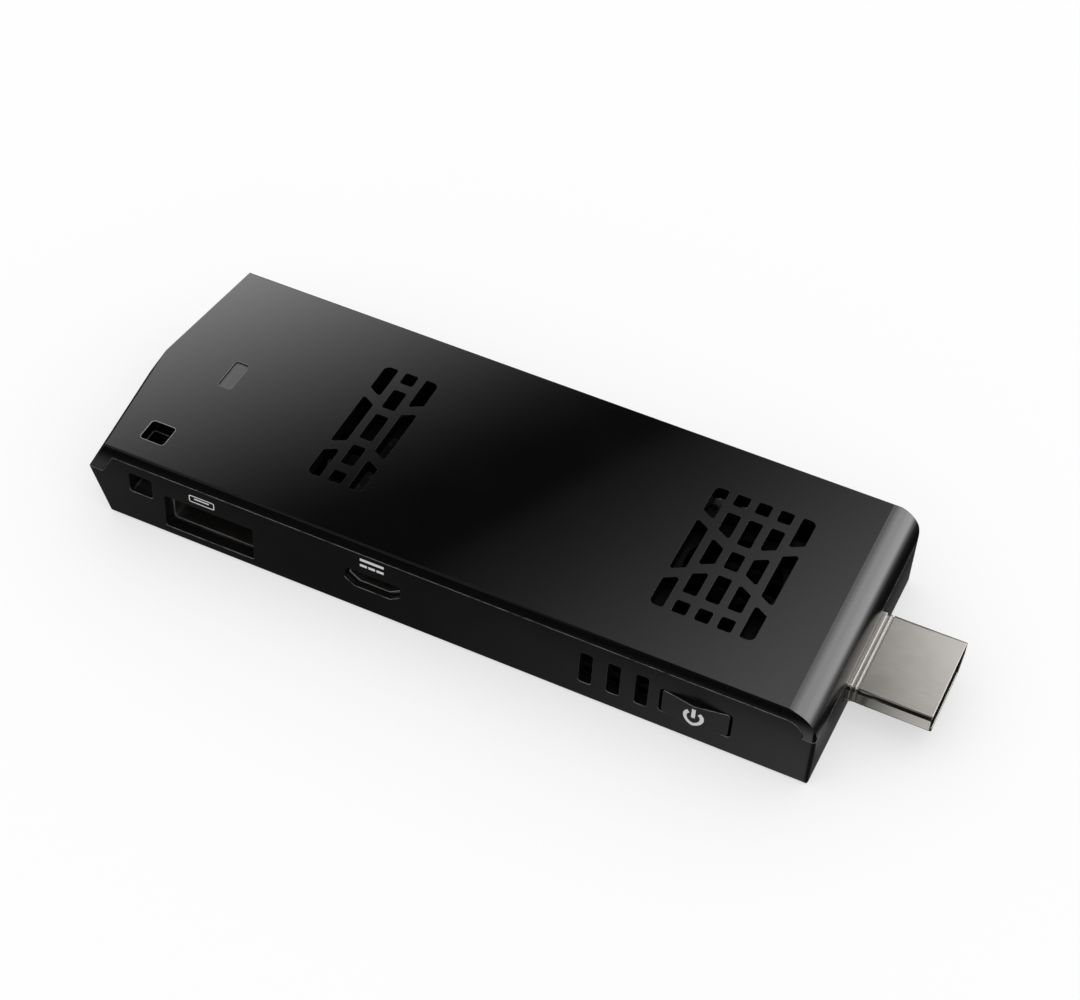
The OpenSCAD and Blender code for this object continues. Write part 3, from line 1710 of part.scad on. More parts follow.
// Bent blade from inside the hub's wall to the rotor's rim, seen from above
module fan_blade() {
    intersection() {
        circle(rotor_r);
        translate([hub_r - hub_t / 2, -blade_bend]) {
            difference() {
                intersection() {
                    circle(blade_bend + blade_t / 2);
                    square(blade_bend + blade_t);
                }
                circle(blade_bend - blade_t / 2);
            }
        }
    }
}

// Cup-shaped hub with bent blades
module fan_rotor() {
    color("#2a2a2c")
        translate([fan_x, 0, 0]) {
            translate([0, 0, hub_z0])
                difference() {
                    cylinder(h = hub_z1 - hub_z0, r = hub_r);
                    translate([0, 0, -over])
                        cylinder(h = hub_z1 - hub_z0 - hub_t + over, r = hub_r - hub_t);
                }
            for (k = [0 : blade_count - 1])
                rotate([0, 0, k * 360 / blade_count])
                    translate([0, 0, hub_z0 + blade_set])
                        linear_extrude(hub_z1 - hub_z0 - hub_t - blade_set)
                            fan_blade();
        }
}

module fan_magnet() {
    r = hub_r - hub_t - magnet_fit;
    color("#4c4c50")
        translate([fan_x, 0, hub_z0])
            difference() {
                cylinder(h = hub_z1 - hub_z0 - hub_t, r = r);
                translate([0, 0, -over])
                    cylinder(h = hub_z1 - hub_z0 + 2 * over, r = r - magnet_t);
            }
}

module fan_shaft() {
    z = fan_deck_z + shaft_foot_gap;
    color("#c2c2c2")
        translate([fan_x, 0, z])
            cylinder(h = hub_z1 - hub_t - z, r = shaft_r);
}

module fan_bearing() {
    color("#a98a4c")
        translate([fan_x, 0, fan_deck_z])
            difference() {
                cylinder(h = bearing_z1 - fan_deck_z, r = bearing_r);
                translate([0, 0, -over])
                    cylinder(h = bearing_z1 - fan_deck_z + 2 * over, r = shaft_r + shaft_gap);
            }
}

// Ring of wound poles round the bearing
module fan_stator() {
    core_r = bearing_r + stator_fit;
    color("#b5652f")
        translate([fan_x, 0, stator_z0])
            difference() {
                cylinder(h = stator_z1 - stator_z0, r = stator_r);
                translate([0, 0, -over])
                    cylinder(h = stator_z1 - stator_z0 + 2 * over, r = core_r);
                for (k = [0 : pole_count - 1])
                    rotate([0, 0, k * 360 / pole_count])
                        translate([(core_r + stator_r) / 2, -pole_gap / 2, -over])
                            cube([stator_r, pole_gap, stator_z1 - stator_z0 + 2 * over]);
            }
}

module fan_leads() {
    color("#b0342c")
        for (x = row(fan_lead_count, fan_lead_pitch))
            translate([fan_plug_x + x, fan_y, board_z + fan_plug_h / 2])
                rotate([-90, 0, 0])
                    cylinder(h = fan_lead_l, d = fan_lead_d);
}

module fan_connector() {
    color("#e4e0d4")
        chip_on(fan_plug_x, fan_plug_y, board_z, [fan_plug_l, fan_plug_w, fan_plug_h]);
}

top_cover();
bottom_case();
light_pipe();
status_led();
power_button();
switch_stem();
switch_body();
main_board();
board_screws();
sink_screws();
fan_screws();
processor();
thermal_pad();
heat_sink();
memory_chips();
flash_chip();
power_controller();
power_inductors();
crystals();
capacitors();
wireless_board();
wireless_shield();
antenna_far();
antenna_near();
antenna_leads();
plug_shell();
plug_collar();
plug_insulator();
plug_contacts();
usb_shell();
usb_tongue();
usb_contacts();
micro_usb_shell();
micro_usb_tongue();
micro_usb_contacts();
card_shell();
card_base();
card_contacts();
fan_housing();
fan_plate();
fan_rotor();
fan_magnet();
fan_shaft();
fan_bearing();
fan_stator();
fan_leads();
fan_connector();
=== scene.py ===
# %% [markdown]
# A stick computer that plugs into a screen
#
# The object is a flat black stick, about 115 mm long, with a plug at one end,
# two ports, a card slot and a push button in its sides, and two grilles in
# its cover. The solids come ready made in metres. This lesson gives them soft
# edges, finishes, printed signs, a camera and light.

# %% Load the solids and keep their box
from math import radians

import bmesh
import bpy
import numpy as np
from mathutils import Matrix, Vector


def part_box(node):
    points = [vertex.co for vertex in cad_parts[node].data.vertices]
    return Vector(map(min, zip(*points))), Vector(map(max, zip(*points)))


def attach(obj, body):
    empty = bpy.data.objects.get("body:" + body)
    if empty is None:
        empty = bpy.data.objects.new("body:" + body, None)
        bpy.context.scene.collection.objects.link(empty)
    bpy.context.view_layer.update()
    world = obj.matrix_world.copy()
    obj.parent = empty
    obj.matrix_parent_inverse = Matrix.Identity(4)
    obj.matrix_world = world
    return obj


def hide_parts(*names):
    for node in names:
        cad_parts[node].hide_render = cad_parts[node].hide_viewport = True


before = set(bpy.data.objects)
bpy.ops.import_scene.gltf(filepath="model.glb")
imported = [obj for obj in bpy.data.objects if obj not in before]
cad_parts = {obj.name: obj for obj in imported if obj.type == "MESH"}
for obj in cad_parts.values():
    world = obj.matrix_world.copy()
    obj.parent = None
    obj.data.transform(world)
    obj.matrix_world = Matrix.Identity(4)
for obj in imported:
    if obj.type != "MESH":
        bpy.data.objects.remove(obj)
scene = bpy.context.scene
scene.view_settings.view_transform = "Standard"
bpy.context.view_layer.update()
MM = 0.001

# %% [markdown]
# Soft edges on sheet metal
#
# No real edge is a knife edge. Folded and stamped sheet metal has a radius of
# about 0.05 mm, and that radius is what catches the light as a thin line. The
# solids have sharp edges, and their mesh is loose triangles. Here a copy of the
# solid is merged, its flat faces are joined, and a Bevel modifier rounds the
# edges that really are edges. Flat faces keep flat shading, so nothing bends
# their mirror.
#
# The small faces along a curved wall meet at slight angles too, and they must
# stay unbevelled. The loaded mesh already tells them apart: a curved wall is
# marked smooth and a flat face isn't. So an edge between two flat faces counts
# from 10 degrees, one beside a single flat face from 25, and one between two
# curved walls from 40.

# %% A helper that copies a solid and rounds its edges
# Least turn of a real edge in degrees, by how many of its faces are flat
LEAST_TURN = {0: 40, 1: 25, 2: 10}
MERGE_WITHIN = 0.001 * MM
SAME_PLANE = radians(0.3)


def edge_turns(edge):
    """True where two faces meet in a real edge, not along a curved wall."""
    flat_faces = sum(not face.smooth for face in edge.link_faces)
    return edge.calc_face_angle(0) > radians(LEAST_TURN[flat_faces])


def soften(node, name, body, radius):
    """A copy of a solid whose edges are rounded to this radius in mm."""
    work = bmesh.new()
    work.from_mesh(bpy.data.objects[node].data)
    bmesh.ops.remove_doubles(work, verts=work.verts, dist=MERGE_WITHIN)
    bmesh.ops.dissolve_limit(work, angle_limit=SAME_PLANE,
                             verts=work.verts, edges=work.edges)
    many_sided = [face for face in work.faces if len(face.verts) > 4]
    bmesh.ops.triangulate(work, faces=many_sided)
    weight = work.edges.layers.float.new("bevel_weight_edge")
    for edge in filter(edge_turns, work.edges):
        edge[weight] = 1
    mesh = bpy.data.meshes.new(name)
    work.to_mesh(mesh)
    work.free()
    piece = bpy.data.objects.new(name, mesh)
    scene.collection.objects.link(piece)
    bevel = piece.modifiers.new("soft edges", "BEVEL")
    bevel.limit_method = "WEIGHT"
    bevel.width = radius * MM
    bevel.segments = 2
    bevel.use_clamp_overlap = False
    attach(piece, body)
    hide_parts(node)
    print(name, "faces:", len(mesh.polygons))
    return piece


# %% [markdown]
# The plug, its collar and the two port shells get this treatment. The black
# mouldings don't: the cover is nearly a mirror, and a mirror shows the smallest
# flaw of a bevelled mesh. They keep their own exact mesh, and their finish
# rounds the edges in the shader instead, as the section on patterns shows.

# %% Soften the sheet metal
plug = soften("plug_shell", "plug_skin", "case", 0.05)
collar = soften("plug_collar", "collar_skin", "case", 0.06)
big_port = soften("usb_shell", "big_port_skin", "case", 0.05)
small_port = soften("micro_usb_shell", "small_port_skin", "case", 0.05)

# %% [markdown]
# Shader maths in plain expressions
#
# Every finish below is a small calculation: a colour that drifts, a roughness
# that varies, a grain that tilts the surface. Node graphs can be wired by
# hand, but a formula is easier to read. The class below wraps one socket of a
# node. Adding or multiplying two of them adds a Math node, and `node` adds any
# other kind: its settings first, because they decide which sockets there are.

# %% The wire class
class Wire:
    """One output socket; arithmetic on it adds Math nodes to its tree."""

    def __init__(self, tree, socket=None):
        self.tree, self.socket = tree, socket

    def node(self, kind, settings=None, sockets=None, out=0):
        """Add a node: its kind, its settings, then its sockets' values or links."""
        made = self.tree.nodes.new("ShaderNode" + kind)
        for name, value in (settings or {}).items():
            setattr(made, name, value)
        for key, value in (sockets or {}).items():
            if isinstance(value, Wire):
                self.tree.links.new(value.socket, made.inputs[key])
            else:
                made.inputs[key].default_value = value
        return Wire(self.tree, made.outputs[out] if made.outputs else None)

    def math(self, operation, *values):
        """Add a Math node that works on wires and plain numbers."""
        return self.node("Math", {"operation": operation}, dict(enumerate(values)))

    def __add__(self, other):
        return self.math("ADD", self, other)

    def __radd__(self, other):
        return self.math("ADD", other, self)

    def __sub__(self, other):
        return self.math("SUBTRACT", self, other)

    def __rsub__(self, other):
        return self.math("SUBTRACT", other, self)

    def __mul__(self, other):
        return self.math("MULTIPLY", self, other)

    def __rmul__(self, other):
        return self.math("MULTIPLY", other, self)

    def __truediv__(self, other):
        return self.math("DIVIDE", self, other)

    def __rtruediv__(self, other):
        return self.math("DIVIDE", other, self)

    def __abs__(self):
        return self.math("ABSOLUTE", self)

    def most(self, other):
        """The larger of two values."""
        return self.math("MAXIMUM", self, other)

    def least(self, other):
        """The smaller of two values."""
        return self.math("MINIMUM", self, other)

    def clamp(self, low, high):
        """The value, held between low and high."""
        return self.node("Clamp", None, {"Value": self, "Min": low, "Max": high})

    def ramp(self, low, high):
        """0 below low, 1 above high, with a soft rise between them."""
        return self.node("MapRange", {"interpolation_type": "SMOOTHSTEP"},
                         {"Value": self, "From Min": low, "From Max": high})

    def band(self, start, full, fading, gone):
        """1 between full and fading, with a soft rise before and fall after."""
        return self.ramp(start, full) * (1 - self.ramp(fading, gone))

    def mix(self, one, two):
        """Colour one where the wire is 0 and colour two where it is 1."""
        return self.node("Mix", {"data_type": "RGBA"}, {0: self, 6: one, 7: two}, 2)

    def parts(self):
        """The x, y and z of a vector, as three wires."""
        return [self.node("SeparateXYZ", None, {0: self}, i) for i in range(3)]


def tint(colour, share=1, lift=0):
    """A colour made darker or paler by a share and a lift, with its alpha."""
    return (*(min(1, part * share + lift) for part in colour[:3]), 1)


def grey(level):
    return (level, level, level, 1)


# %% [markdown]
# Patterns and rounded edges
#
# Patterns are drawn in millimetres, so that a grain of 0.1 reads as what it is.
# Object coordinates are in metres and stay with the piece when it moves, which
# makes them the right start: they are scaled by a thousand.
#
# `rounded` asks the Bevel node for a normal that turns evenly round each edge.
# It changes only the shading, so the mesh and its mirror stay exact. `edge`
# compares that normal with the real one: where they differ there is an edge,
# and that is where handling rubs a finish first, and where some finishes below
# also paint a highlight.

# %% Patterns that the finishes share
# One less the cosine of a normal's turn, where an edge begins and where it is full
EDGE_BEGINS, EDGE_FULL = 0.004, 0.08


def place(wire, stretch=(1, 1, 1)):
    """Where a point is, in mm; a stretch below 1 draws a pattern out that way."""
    metres = wire.node("TexCoord", out="Object")
    return metres.node("VectorMath", {"operation": "MULTIPLY"},
                       {0: metres, 1: tuple(part / MM for part in stretch)})


def noise(spot, size, detail=2.0, rough=0.5):
    """Cloud of values about 0.5, with lumps of this size in mm."""
    return spot.node("TexNoise", None, {"Vector": spot, "Scale": 1 / size,
                                        "Detail": detail, "Roughness": rough})


def facing(wire):
    """The x, y and z of the direction that the surface really faces."""
    return wire.node("NewGeometry", out="Normal").parts()


def rounded(wire, radius):
    """Normal that turns evenly round every edge within this radius in mm."""
    return wire.node("Bevel", {"samples": 6}, {"Radius": radius * MM})


def edge(turned):
    """1 on edges and 0 on flats: how far a rounded normal has left the real one."""
    real = turned.node("NewGeometry", out="Normal")
    same = turned.node("VectorMath", {"operation": "DOT_PRODUCT"},
                       {0: turned, 1: real}, "Value")
    return (1 - same).ramp(EDGE_BEGINS, EDGE_FULL)


def bump(height, depth, turned=None):
    """Normal tilted by a height of 0 to 1 that stands for this depth in mm."""
    sockets = {"Height": height, "Distance": depth * MM, "Strength": 1.0}
    if turned:
        sockets["Normal"] = turned
    return height.node("Bump", None, sockets)


# %% [markdown]
# Finishes
#
# A finish is one material. A painting function gives the sockets that vary over
# the surface, and what is even all over is set as a plain value. `coat` puts a
# finish on solids that keep their own mesh, and takes their plain one off.

# %% Helpers that make a finish and put it on
def finish(name, paint, **fixed):
    """A material: paint(wire) gives what varies, fixed holds what is even."""
    material = bpy.data.materials.new(name)
    material.use_nodes = True
    tree = material.node_tree
    tree.nodes.clear()
    wire = Wire(tree)
    sockets = {key.replace("_", " ").title().replace("Ior", "IOR"): value
               for key, value in fixed.items()}
    surface = wire.node("BsdfPrincipled", None, {**sockets, **paint(wire)})
    wire.node("OutputMaterial", None, {"Surface": surface})
    print("finish:", name, "nodes:", len(tree.nodes))
    return material


def coat(material, *nodes):
    """Put a finish on solids that keep their own mesh."""
    for node in nodes:
        mesh = bpy.data.objects[node].data
        mesh.materials.clear()
        mesh.materials.append(material)


# %% [markdown]
# Moulded plastic
#
# The tray's mould was etched, which leaves a fine grain in the black plastic.
# The button's was etched too and is a little smoother, and the lamp window is
# smoked plastic that lets some light through. One recipe serves them and every
# other plastic here: a colour that drifts a little, a roughness that drifts
# with handling, a grain as a bump, and edges that are lighter and smoother:
# rubbed, and with a painted highlight along them. The highlight is painted on
# edges that face up, where light from above catches a rounded edge, and none on
# edges that face down. On the tray and the button it is strong, a thin pale line.

# %% The plastic recipe, the tray, the button and the lamp window
def moulded(colour, rough, lump, depth, wear_and_highlight_share=0.12, radius=0.1):
    """Plastic of a colour and roughness.

    Its grain has a lump size and depth in mm. A share of the edges' wear and painted
    highlight shows, and the edges are rounded to a radius in mm.
    """
    def paint(wire):
        spot = place(wire)
        drift = noise(spot, 9)
        fine = noise(spot, lump, 3, 0.6)
        turned = rounded(wire, radius)
        # Painted highlight along edges that face up, as if lit from above; edges that face
        # down get none. Partly wear too.
        faces_up = turned.parts()[2].ramp(-0.1, 0.5)
        wear_and_highlight = edge(turned) * faces_up * noise(spot, 1.5, 3).ramp(0.2, 0.6) * wear_and_highlight_share
        cloud = (drift * 0.7 + fine * 0.3).ramp(0.3, 0.7)
        shade = cloud.mix(tint(colour, 0.8), tint(colour, 1.2))
        uneven = 0.8 + drift * 0.25 + fine * 0.15
        return {"Base Color": wear_and_highlight.mix(shade, tint(colour, 1.5, 0.35)),
                "Roughness": rough * uneven - wear_and_highlight * rough * 0.2,
                "Normal": bump(fine, depth, turned)}
    return paint


def plastic(name, *look, **fixed):
    return finish(name, moulded(*look), **fixed)


black = (0.0046, 0.0046, 0.0047)
coat(plastic("grained black plastic", black, 0.34, 0.09, 0.002, 0.9, 0.14), "bottom_case")
coat(plastic("button plastic", black, 0.3, 0.09, 0.002, 0.9, 0.14), "power_button")
coat(plastic("smoked lamp plastic", (0.125, 0.125, 0.125), 0.22, 0.2, 0.001,
             transmission_weight=0.25, ior=1.49), "light_pipe")

# %% [markdown]
# The lacquered cover
#
# The cover is the same plastic under a clear lacquer, and is nearly a mirror.
# A second, coat layer in the shader gives that. One kind of use shows on it.
# The end by the plug, where a thumb pushes the stick home, has lost its lacquer
# and is duller: the way the surface faces finds it, because of the outer faces
# only the bent end faces the plug. And the rims of the cord's hole and of the
# lamp window get a painted highlight, a pale line along each rim: the distance
# from each middle keeps it there.

# %% The cover
lamp_low, lamp_high = np.array(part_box("light_pipe")) / MM
cover_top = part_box("top_cover")[1][2] / MM
cord_hole = (-47.35, -13.8, cover_top)
lamp_middle = (*(lamp_low + lamp_high)[:2] / 2, cover_top)
print("lamp window at", lamp_middle)


def near_to(spot, middle, reach, fade):
    """1 within a reach in mm of a middle, and 0 from the fade on."""
    away = spot.node("VectorMath", {"operation": "DISTANCE"}, {0: spot, 1: middle}, "Value")
    return 1 - away.ramp(reach, fade)


def lacquered(wire):
    look = moulded((0.0016, 0.0016, 0.0017), 0.08, 0.12, 0.0001, 0.08, 0.06)(wire)
    spot = place(wire)
    dulled = facing(wire)[0].ramp(0.64, 0.9)
    # Painted highlight: pale rims round the cord's hole and the lamp window.
    lightened = near_to(spot, cord_hole, 2.8, 4) + 0.4 * near_to(spot, lamp_middle, 3.2, 4.4)
    painted_rim_highlight = lightened * edge(rounded(wire, 0.16)) * 0.8
    return {**look,
            "Base Color": painted_rim_highlight.mix(look["Base Color"], grey(0.7)),
            "Roughness": look["Roughness"] + 0.25 * dulled,
            "Coat Weight": 1 - dulled}


coat(finish("lacquered black plastic", lacquered, specular_ior_level=0.25,
            coat_ior=1.65, coat_roughness=0.04), "top_cover")

# %% [markdown]
# Plated sheet metal
#
# The plug's shell is steel, folded and plated with nickel, which looks warm
# beside chrome. The sheet keeps faint lines from rolling, all one way. Noise
# that is stretched along those lines gives them, both in the roughness and as
# a bump, and a slow drift dulls the plating where fingers hold it. Edges are
# paler, partly rubbed plating and partly a painted highlight. The cut edges of
# the ports' shells are also less metallic: bare cut steel, and a painted
# highlight that makes their front lips show as pale lines.

# %% The metal recipe, the plug and the ports
def plating(name, colour, rough, along, lines=0.06, depth=0.0008, matte=0.0):
    """Metal of a colour and roughness, rolled along an axis.

    Its lines have a width and depth in mm. Its edges are paler, from wear and a
    painted highlight, and matte by a share.
    """
    def paint(wire):
        stretch = tuple(0.03 if axis == along else 1 for axis in "xyz")
        streak = noise(place(wire, stretch), lines, 3, 0.65)
        dull = noise(place(wire), 4, 3)
        turned = rounded(wire, 0.1)
        # Paler, less metallic edges: rubbed plating and a painted highlight.
        lightened = edge(turned)
        cloud = (streak * 0.5 + dull * 0.5).ramp(0.3, 0.7)
        shade = cloud.mix(tint(colour, 0.92), tint(colour, 1.06))
        uneven = 0.72 + streak * 0.3 + dull * 0.26
        return {"Base Color": (lightened * 0.3).mix(shade, tint(colour, 1.25)),
                "Roughness": rough * uneven - lightened * rough * 0.3,
                "Metallic": 1 - lightened * matte,
                "Normal": bump(streak, depth, turned)}
    return finish(name, paint)


nickel = plating("nickel plated steel", (0.46, 0.44, 0.41), 0.1, "x", depth=0.0001)
tin = plating("plated port steel", (0.5, 0.49, 0.47), 0.3, "y", matte=0.9)
for piece, metal in ((plug, nickel), (collar, nickel), (big_port, tin), (small_port, tin)):
    piece.data.materials.append(metal)

# %% [markdown]
# Parts on the board
#
# Behind the grilles and in the ports the small parts show. Most of their
# finishes are one of the two recipes above with other numbers. The fan is
# black plastic, made almost black as painted shade for the inside of the case.

# %% Plastics inside
coat(plastic("connector black", (0.012, 0.012, 0.0125), 0.42, 0.15, 0.002),
     "plug_insulator", "usb_tongue", "micro_usb_tongue", "card_base")
coat(plastic("chip resin", (0.018, 0.018, 0.019), 0.5, 0.05, 0.004),
     "memory_chips", "flash_chip", "power_controller")
# Near black: black plastic, darkened further as painted shade inside the case.
coat(plastic("fan black", (0.003, 0.003, 0.0032), 0.6, 0.12, 0.003, specular_ior_level=0.1),
     "fan_housing", "fan_rotor")
coat(plastic("switch grey", (0.05, 0.05, 0.048), 0.45, 0.1, 0.002), "switch_body")
coat(plastic("stem black", (0.03, 0.03, 0.031), 0.4, 0.1, 0.002), "switch_stem")
coat(plastic("black nylon", (0.016, 0.016, 0.016), 0.42, 0.12, 0.002), "fan_connector")

# %% Metals inside
gold = (0.75, 0.55, 0.24)
coat(plating("port plate steel", (0.55, 0.54, 0.51), 0.3, "y"), "card_shell")
coat(plating("gold flash", gold, 0.24, "y"),
     "usb_contacts", "micro_usb_contacts", "card_contacts")
coat(plating("plug gold flash", gold, 0.24, "x"), "plug_contacts")
coat(plating("screw steel", (0.45, 0.45, 0.46), 0.3, "z"),
     "board_screws", "sink_screws", "fan_shaft")
coat(plating("blackened screw steel", (0.03, 0.03, 0.031), 0.45, "z"), "fan_screws")
coat(plating("tinned can", (0.6, 0.6, 0.58), 0.28, "x"), "wireless_shield", "crystals")
coat(plating("bearing bronze", (0.5, 0.36, 0.15), 0.45, "z", 0.1), "fan_bearing")

# %% [markdown]
# The heat sink and the fan's plate are aluminium, anodised black, and their
# colour is darker still as painted shade for the inside of the case. Under that
# skin the cutter's arcs and the sheet's rolling lines still show, and at this
# size both read as fine parallel strokes, with the odd deeper scratch. The
# scratches are a second noise, drawn out much further and kept only at its
# peaks.

# %% Aluminium
def aluminium(wire):
    stroke = noise(place(wire, (0.04, 1, 1)), 0.08, 3, 0.6)
    scratch = noise(place(wire, (0.02, 1, 0.3)), 0.3, 4, 0.7).ramp(0.62, 0.7)
    dull = noise(place(wire), 5, 3)
    turned = rounded(wire, 0.15)
    cloud = (stroke * 0.5 + dull * 0.5).ramp(0.25, 0.75)
    shade = cloud.mix((0.005, 0.005, 0.0053, 1), (0.009, 0.009, 0.0095, 1))
    bared = edge(turned) * 0.5 + scratch * 0.2
    return {"Base Color": bared.mix(shade, (0.02, 0.02, 0.021, 1)),
            "Roughness": 0.52 + stroke * 0.1 + dull * 0.08 - scratch * 0.1,
            "Normal": bump(stroke + scratch * 0.5, 0.0015, turned)}


# Very dark: anodised black, darkened further as painted shade inside the case.
coat(finish("black anodised aluminium", aluminium, specular_ior_level=0.1),
     "heat_sink", "fan_plate")

# %% [markdown]
# Circuit boards
#
# Under the lacquer run copper tracks, which show as a paler shade of it, and
# where a hole joins two layers there is a small bright ring. A brick pattern
# with very long bricks gives runs of tracks that start and stop, and a cell
# pattern gives the rings. The lacquer lies only on the two faces, so the cut
# edge, told by the way it faces, shows the layered glass cloth instead. The
# main board is black, made very dark as painted shade for the inside of the
# case, and the small radio board blue.

# %% The board recipe
def bricks(spot, gap, soft, width, height):
    """1 in the gaps of a brick pattern of a width and height in mm, 0 on its bricks."""
    return spot.node("TexBrick", None, {
        "Vector": spot, "Scale": 1.0,
        "Color1": grey(1), "Color2": grey(1), "Mortar": grey(0),
        "Mortar Size": gap, "Mortar Smooth": soft,
        "Brick Width": width, "Row Height": height}, "Fac")


def cells(spot, scale, **settings):
    """Distance from the nearest of many scattered points, this many to a mm."""
    return spot.node("TexVoronoi", settings, {"Vector": spot, "Scale": scale}, "Distance")


def board(name, lacquer, track):
    """Lacquered board with runs of tracks, ringed holes and a glass-cloth edge."""
    def paint(wire):
        spot = place(wire)
        copper = bricks(spot, 0.08, 0.3, 7.3, 0.42) * noise(spot, 5, 1).ramp(0.48, 0.54)
        cell = cells(spot, 0.35, voronoi_dimensions="2D")
        ring = (1 - cell.ramp(0.1, 0.13)) * cell.ramp(0.04, 0.06)
        face = abs(facing(wire)[2]).ramp(0.6, 0.8)
        cloth = noise(place(wire, (0.2, 0.2, 1)), 0.12, 2)
        dirt = noise(spot, 6, 3)
        mask = (copper * 0.8).mix(dirt.mix(lacquer, tint(lacquer, 0.8)), track)
        top = ring.mix(mask, (0.06, 0.05, 0.03, 1))
        side = cloth.mix((0.004, 0.004, 0.003, 1), (0.009, 0.0085, 0.006, 1))
        relief = (copper * 0.6 + ring) * face + cloth * (1 - face) * 0.3
        return {"Base Color": face.mix(side, top),
                "Roughness": 0.55 - face * (0.22 - dirt * 0.1),
                "Normal": bump(relief, 0.02)}
    return finish(name, paint)


# The main board's dark lacquer is partly painted shade for the inside of the case.
coat(board("black board", (0.004, 0.006, 0.005, 1), (0.008, 0.013, 0.01, 1)),
     "main_board")
coat(board("blue radio board", (0.012, 0.04, 0.12, 1), (0.03, 0.1, 0.24, 1)),
     "wireless_board")

# %% [markdown]
# The processor is a bare silicon die on a small board. Its solid holds both,
# and height tells them apart: what is above the base is dark, smooth and
# slightly violet, and the base around it is lacquered.

# %% The processor
chip_low, chip_high = (corner[2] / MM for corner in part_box("processor"))
print("processor from", round(chip_low, 2), "to", round(chip_high, 2), "mm")


def silicon(wire):
    spot = place(wire)
    die = spot.parts()[2].ramp(chip_high - 0.08, chip_high - 0.04)
    smear = noise(spot, 3, 3)
    pads = spot.node("TexVoronoi", {"voronoi_dimensions": "2D"},
                     {"Vector": spot, "Scale": 1.1, "Randomness": 0.1}, "Distance")
    base = pads.ramp(0.18, 0.24).mix((0.3, 0.24, 0.12, 1), (0.02, 0.09, 0.05, 1))
    crystal = smear.mix((0.05, 0.048, 0.06, 1), (0.085, 0.08, 0.1, 1))
    return {"Base Color": die.mix(base, crystal),
            "Roughness": 0.4 - die * (0.28 - smear * 0.12),
            "Metallic": die * 0.7,
            "Normal": bump(smear * 0.1 + (1 - pads.ramp(0.15, 0.25)) * (1 - die), 0.01)}


coat(finish("silicon on its base", silicon), "processor")

# %% [markdown]
# Fired and pressed parts
#
# Ferrite, ceramic and bonded magnets are powders, pressed and fired. They show
# speckle at two sizes and tiny pits. The recipe mixes two noises for colour,
# and cuts pits where a cell pattern is nearest its centres.

# %% The pressed-powder recipe
def powder(name, colour, speck, rough, pits=0.3):
    """Pressed powder: a colour, its specks, and pits of a depth given as a share."""
    def paint(wire):
        spot = place(wire)
        coarse, fine = noise(spot, 0.6, 2), noise(spot, 0.08, 3, 0.7)
        pit = 1 - cells(spot, 3.5).ramp(0.08, 0.2)
        turned = rounded(wire, 0.12)
        chipped = edge(turned) * coarse.ramp(0.4, 0.6)
        shade = (coarse * 0.4 + fine * 0.6).ramp(0.35, 0.65).mix(colour, speck)
        return {"Base Color": chipped.mix(shade, tint(speck, 1.6)),
                "Roughness": rough + fine * 0.2 - coarse * 0.1,
                "Normal": bump(fine * 0.4 - pit * pits, 0.01, turned)}
    return finish(name, paint)


coat(powder("grey ferrite", (0.05, 0.048, 0.045, 1), (0.11, 0.105, 0.1, 1), 0.55),
     "power_inductors")
coat(powder("fired ceramic", (0.34, 0.25, 0.16, 1), (0.46, 0.36, 0.25, 1), 0.4, 0.1),
     "capacitors")
coat(powder("bonded magnet", (0.04, 0.04, 0.043, 1), (0.09, 0.09, 0.095, 1), 0.5, 0.2),
     "fan_magnet")
coat(powder("heat pad", (0.2, 0.27, 0.35, 1), (0.28, 0.36, 0.45, 1), 0.7, 0.5),
     "thermal_pad")
coat(powder("lamp resin", (0.66, 0.63, 0.48, 1), (0.76, 0.73, 0.58, 1), 0.3, 0.05),
     "status_led")

# %% [markdown]
# Wire, film and leads
#
# The fan's coils are lacquered copper wire, a tenth of a millimetre thick and
# laid side by side: bands of a wave pattern around the height. The aerials are
# copper film under amber plastic, with a pattern etched away. The leads have a
# smooth skin with a slight orange-peel.

# %% Copper, film and leads
def wound_copper(wire):
    spot = place(wire)
    turns = spot.node("TexWave", {"wave_type": "BANDS", "bands_direction": "Z"},
                      {"Vector": spot, "Scale": 3.2, "Distortion": 1.2, "Detail": 1.0},
                      "Fac")
    lay = noise(spot, 0.7, 3)
    cloud = turns * 0.7 + lay * 0.3
    return {"Base Color": cloud.mix((0.16, 0.045, 0.015, 1), (0.62, 0.26, 0.1, 1)),
            "Roughness": 0.24 + lay * 0.16,
            "Normal": bump(turns + lay * 0.2, 0.04)}


def etched_film(wire):
    etched = bricks(place(wire), 0.18, 0.05, 3.1, 1.4)
    crease = noise(place(wire, (1, 0.2, 1)), 0.8, 3)
    copper = crease.mix((0.42, 0.24, 0.06, 1), (0.58, 0.36, 0.11, 1))
    return {"Base Color": etched.mix(copper, (0.2, 0.1, 0.02, 1)),
            "Roughness": 0.22 + crease * 0.2,
            "Metallic": (1 - etched) * 0.8,
            "Normal": bump((1 - etched) * 0.5 + crease * 0.5, 0.02)}


coat(finish("wound copper", wound_copper, metallic=0.9), "fan_stator")
coat(finish("etched copper film", etched_film, coat_weight=0.4),
     "antenna_far", "antenna_near")
coat(plastic("lead black", (0.02, 0.02, 0.021), 0.38, 0.35, 0.004), "antenna_leads")
coat(plastic("lead red", (0.4, 0.03, 0.025), 0.38, 0.35, 0.004), "fan_leads")

# %% [markdown]
# Printed signs
#
# Three signs are printed in white on the near side: direct current at the
# power port, a port outline over the large port, and the power sign on the
# button. Ink is a few hundredths of a millimetre thick at most. A decal would
# need an image, so each stroke is a thin ribbon: a flat profile carried along
# a line in the wall's plane. It has a vertex row along its middle too, so that
# it can fold over the ridge of the button's roof-shaped face.

# %% Ribbons of ink
INK_ROOT, INK_RISE = 0.004, 0.012
CORNERS = 6


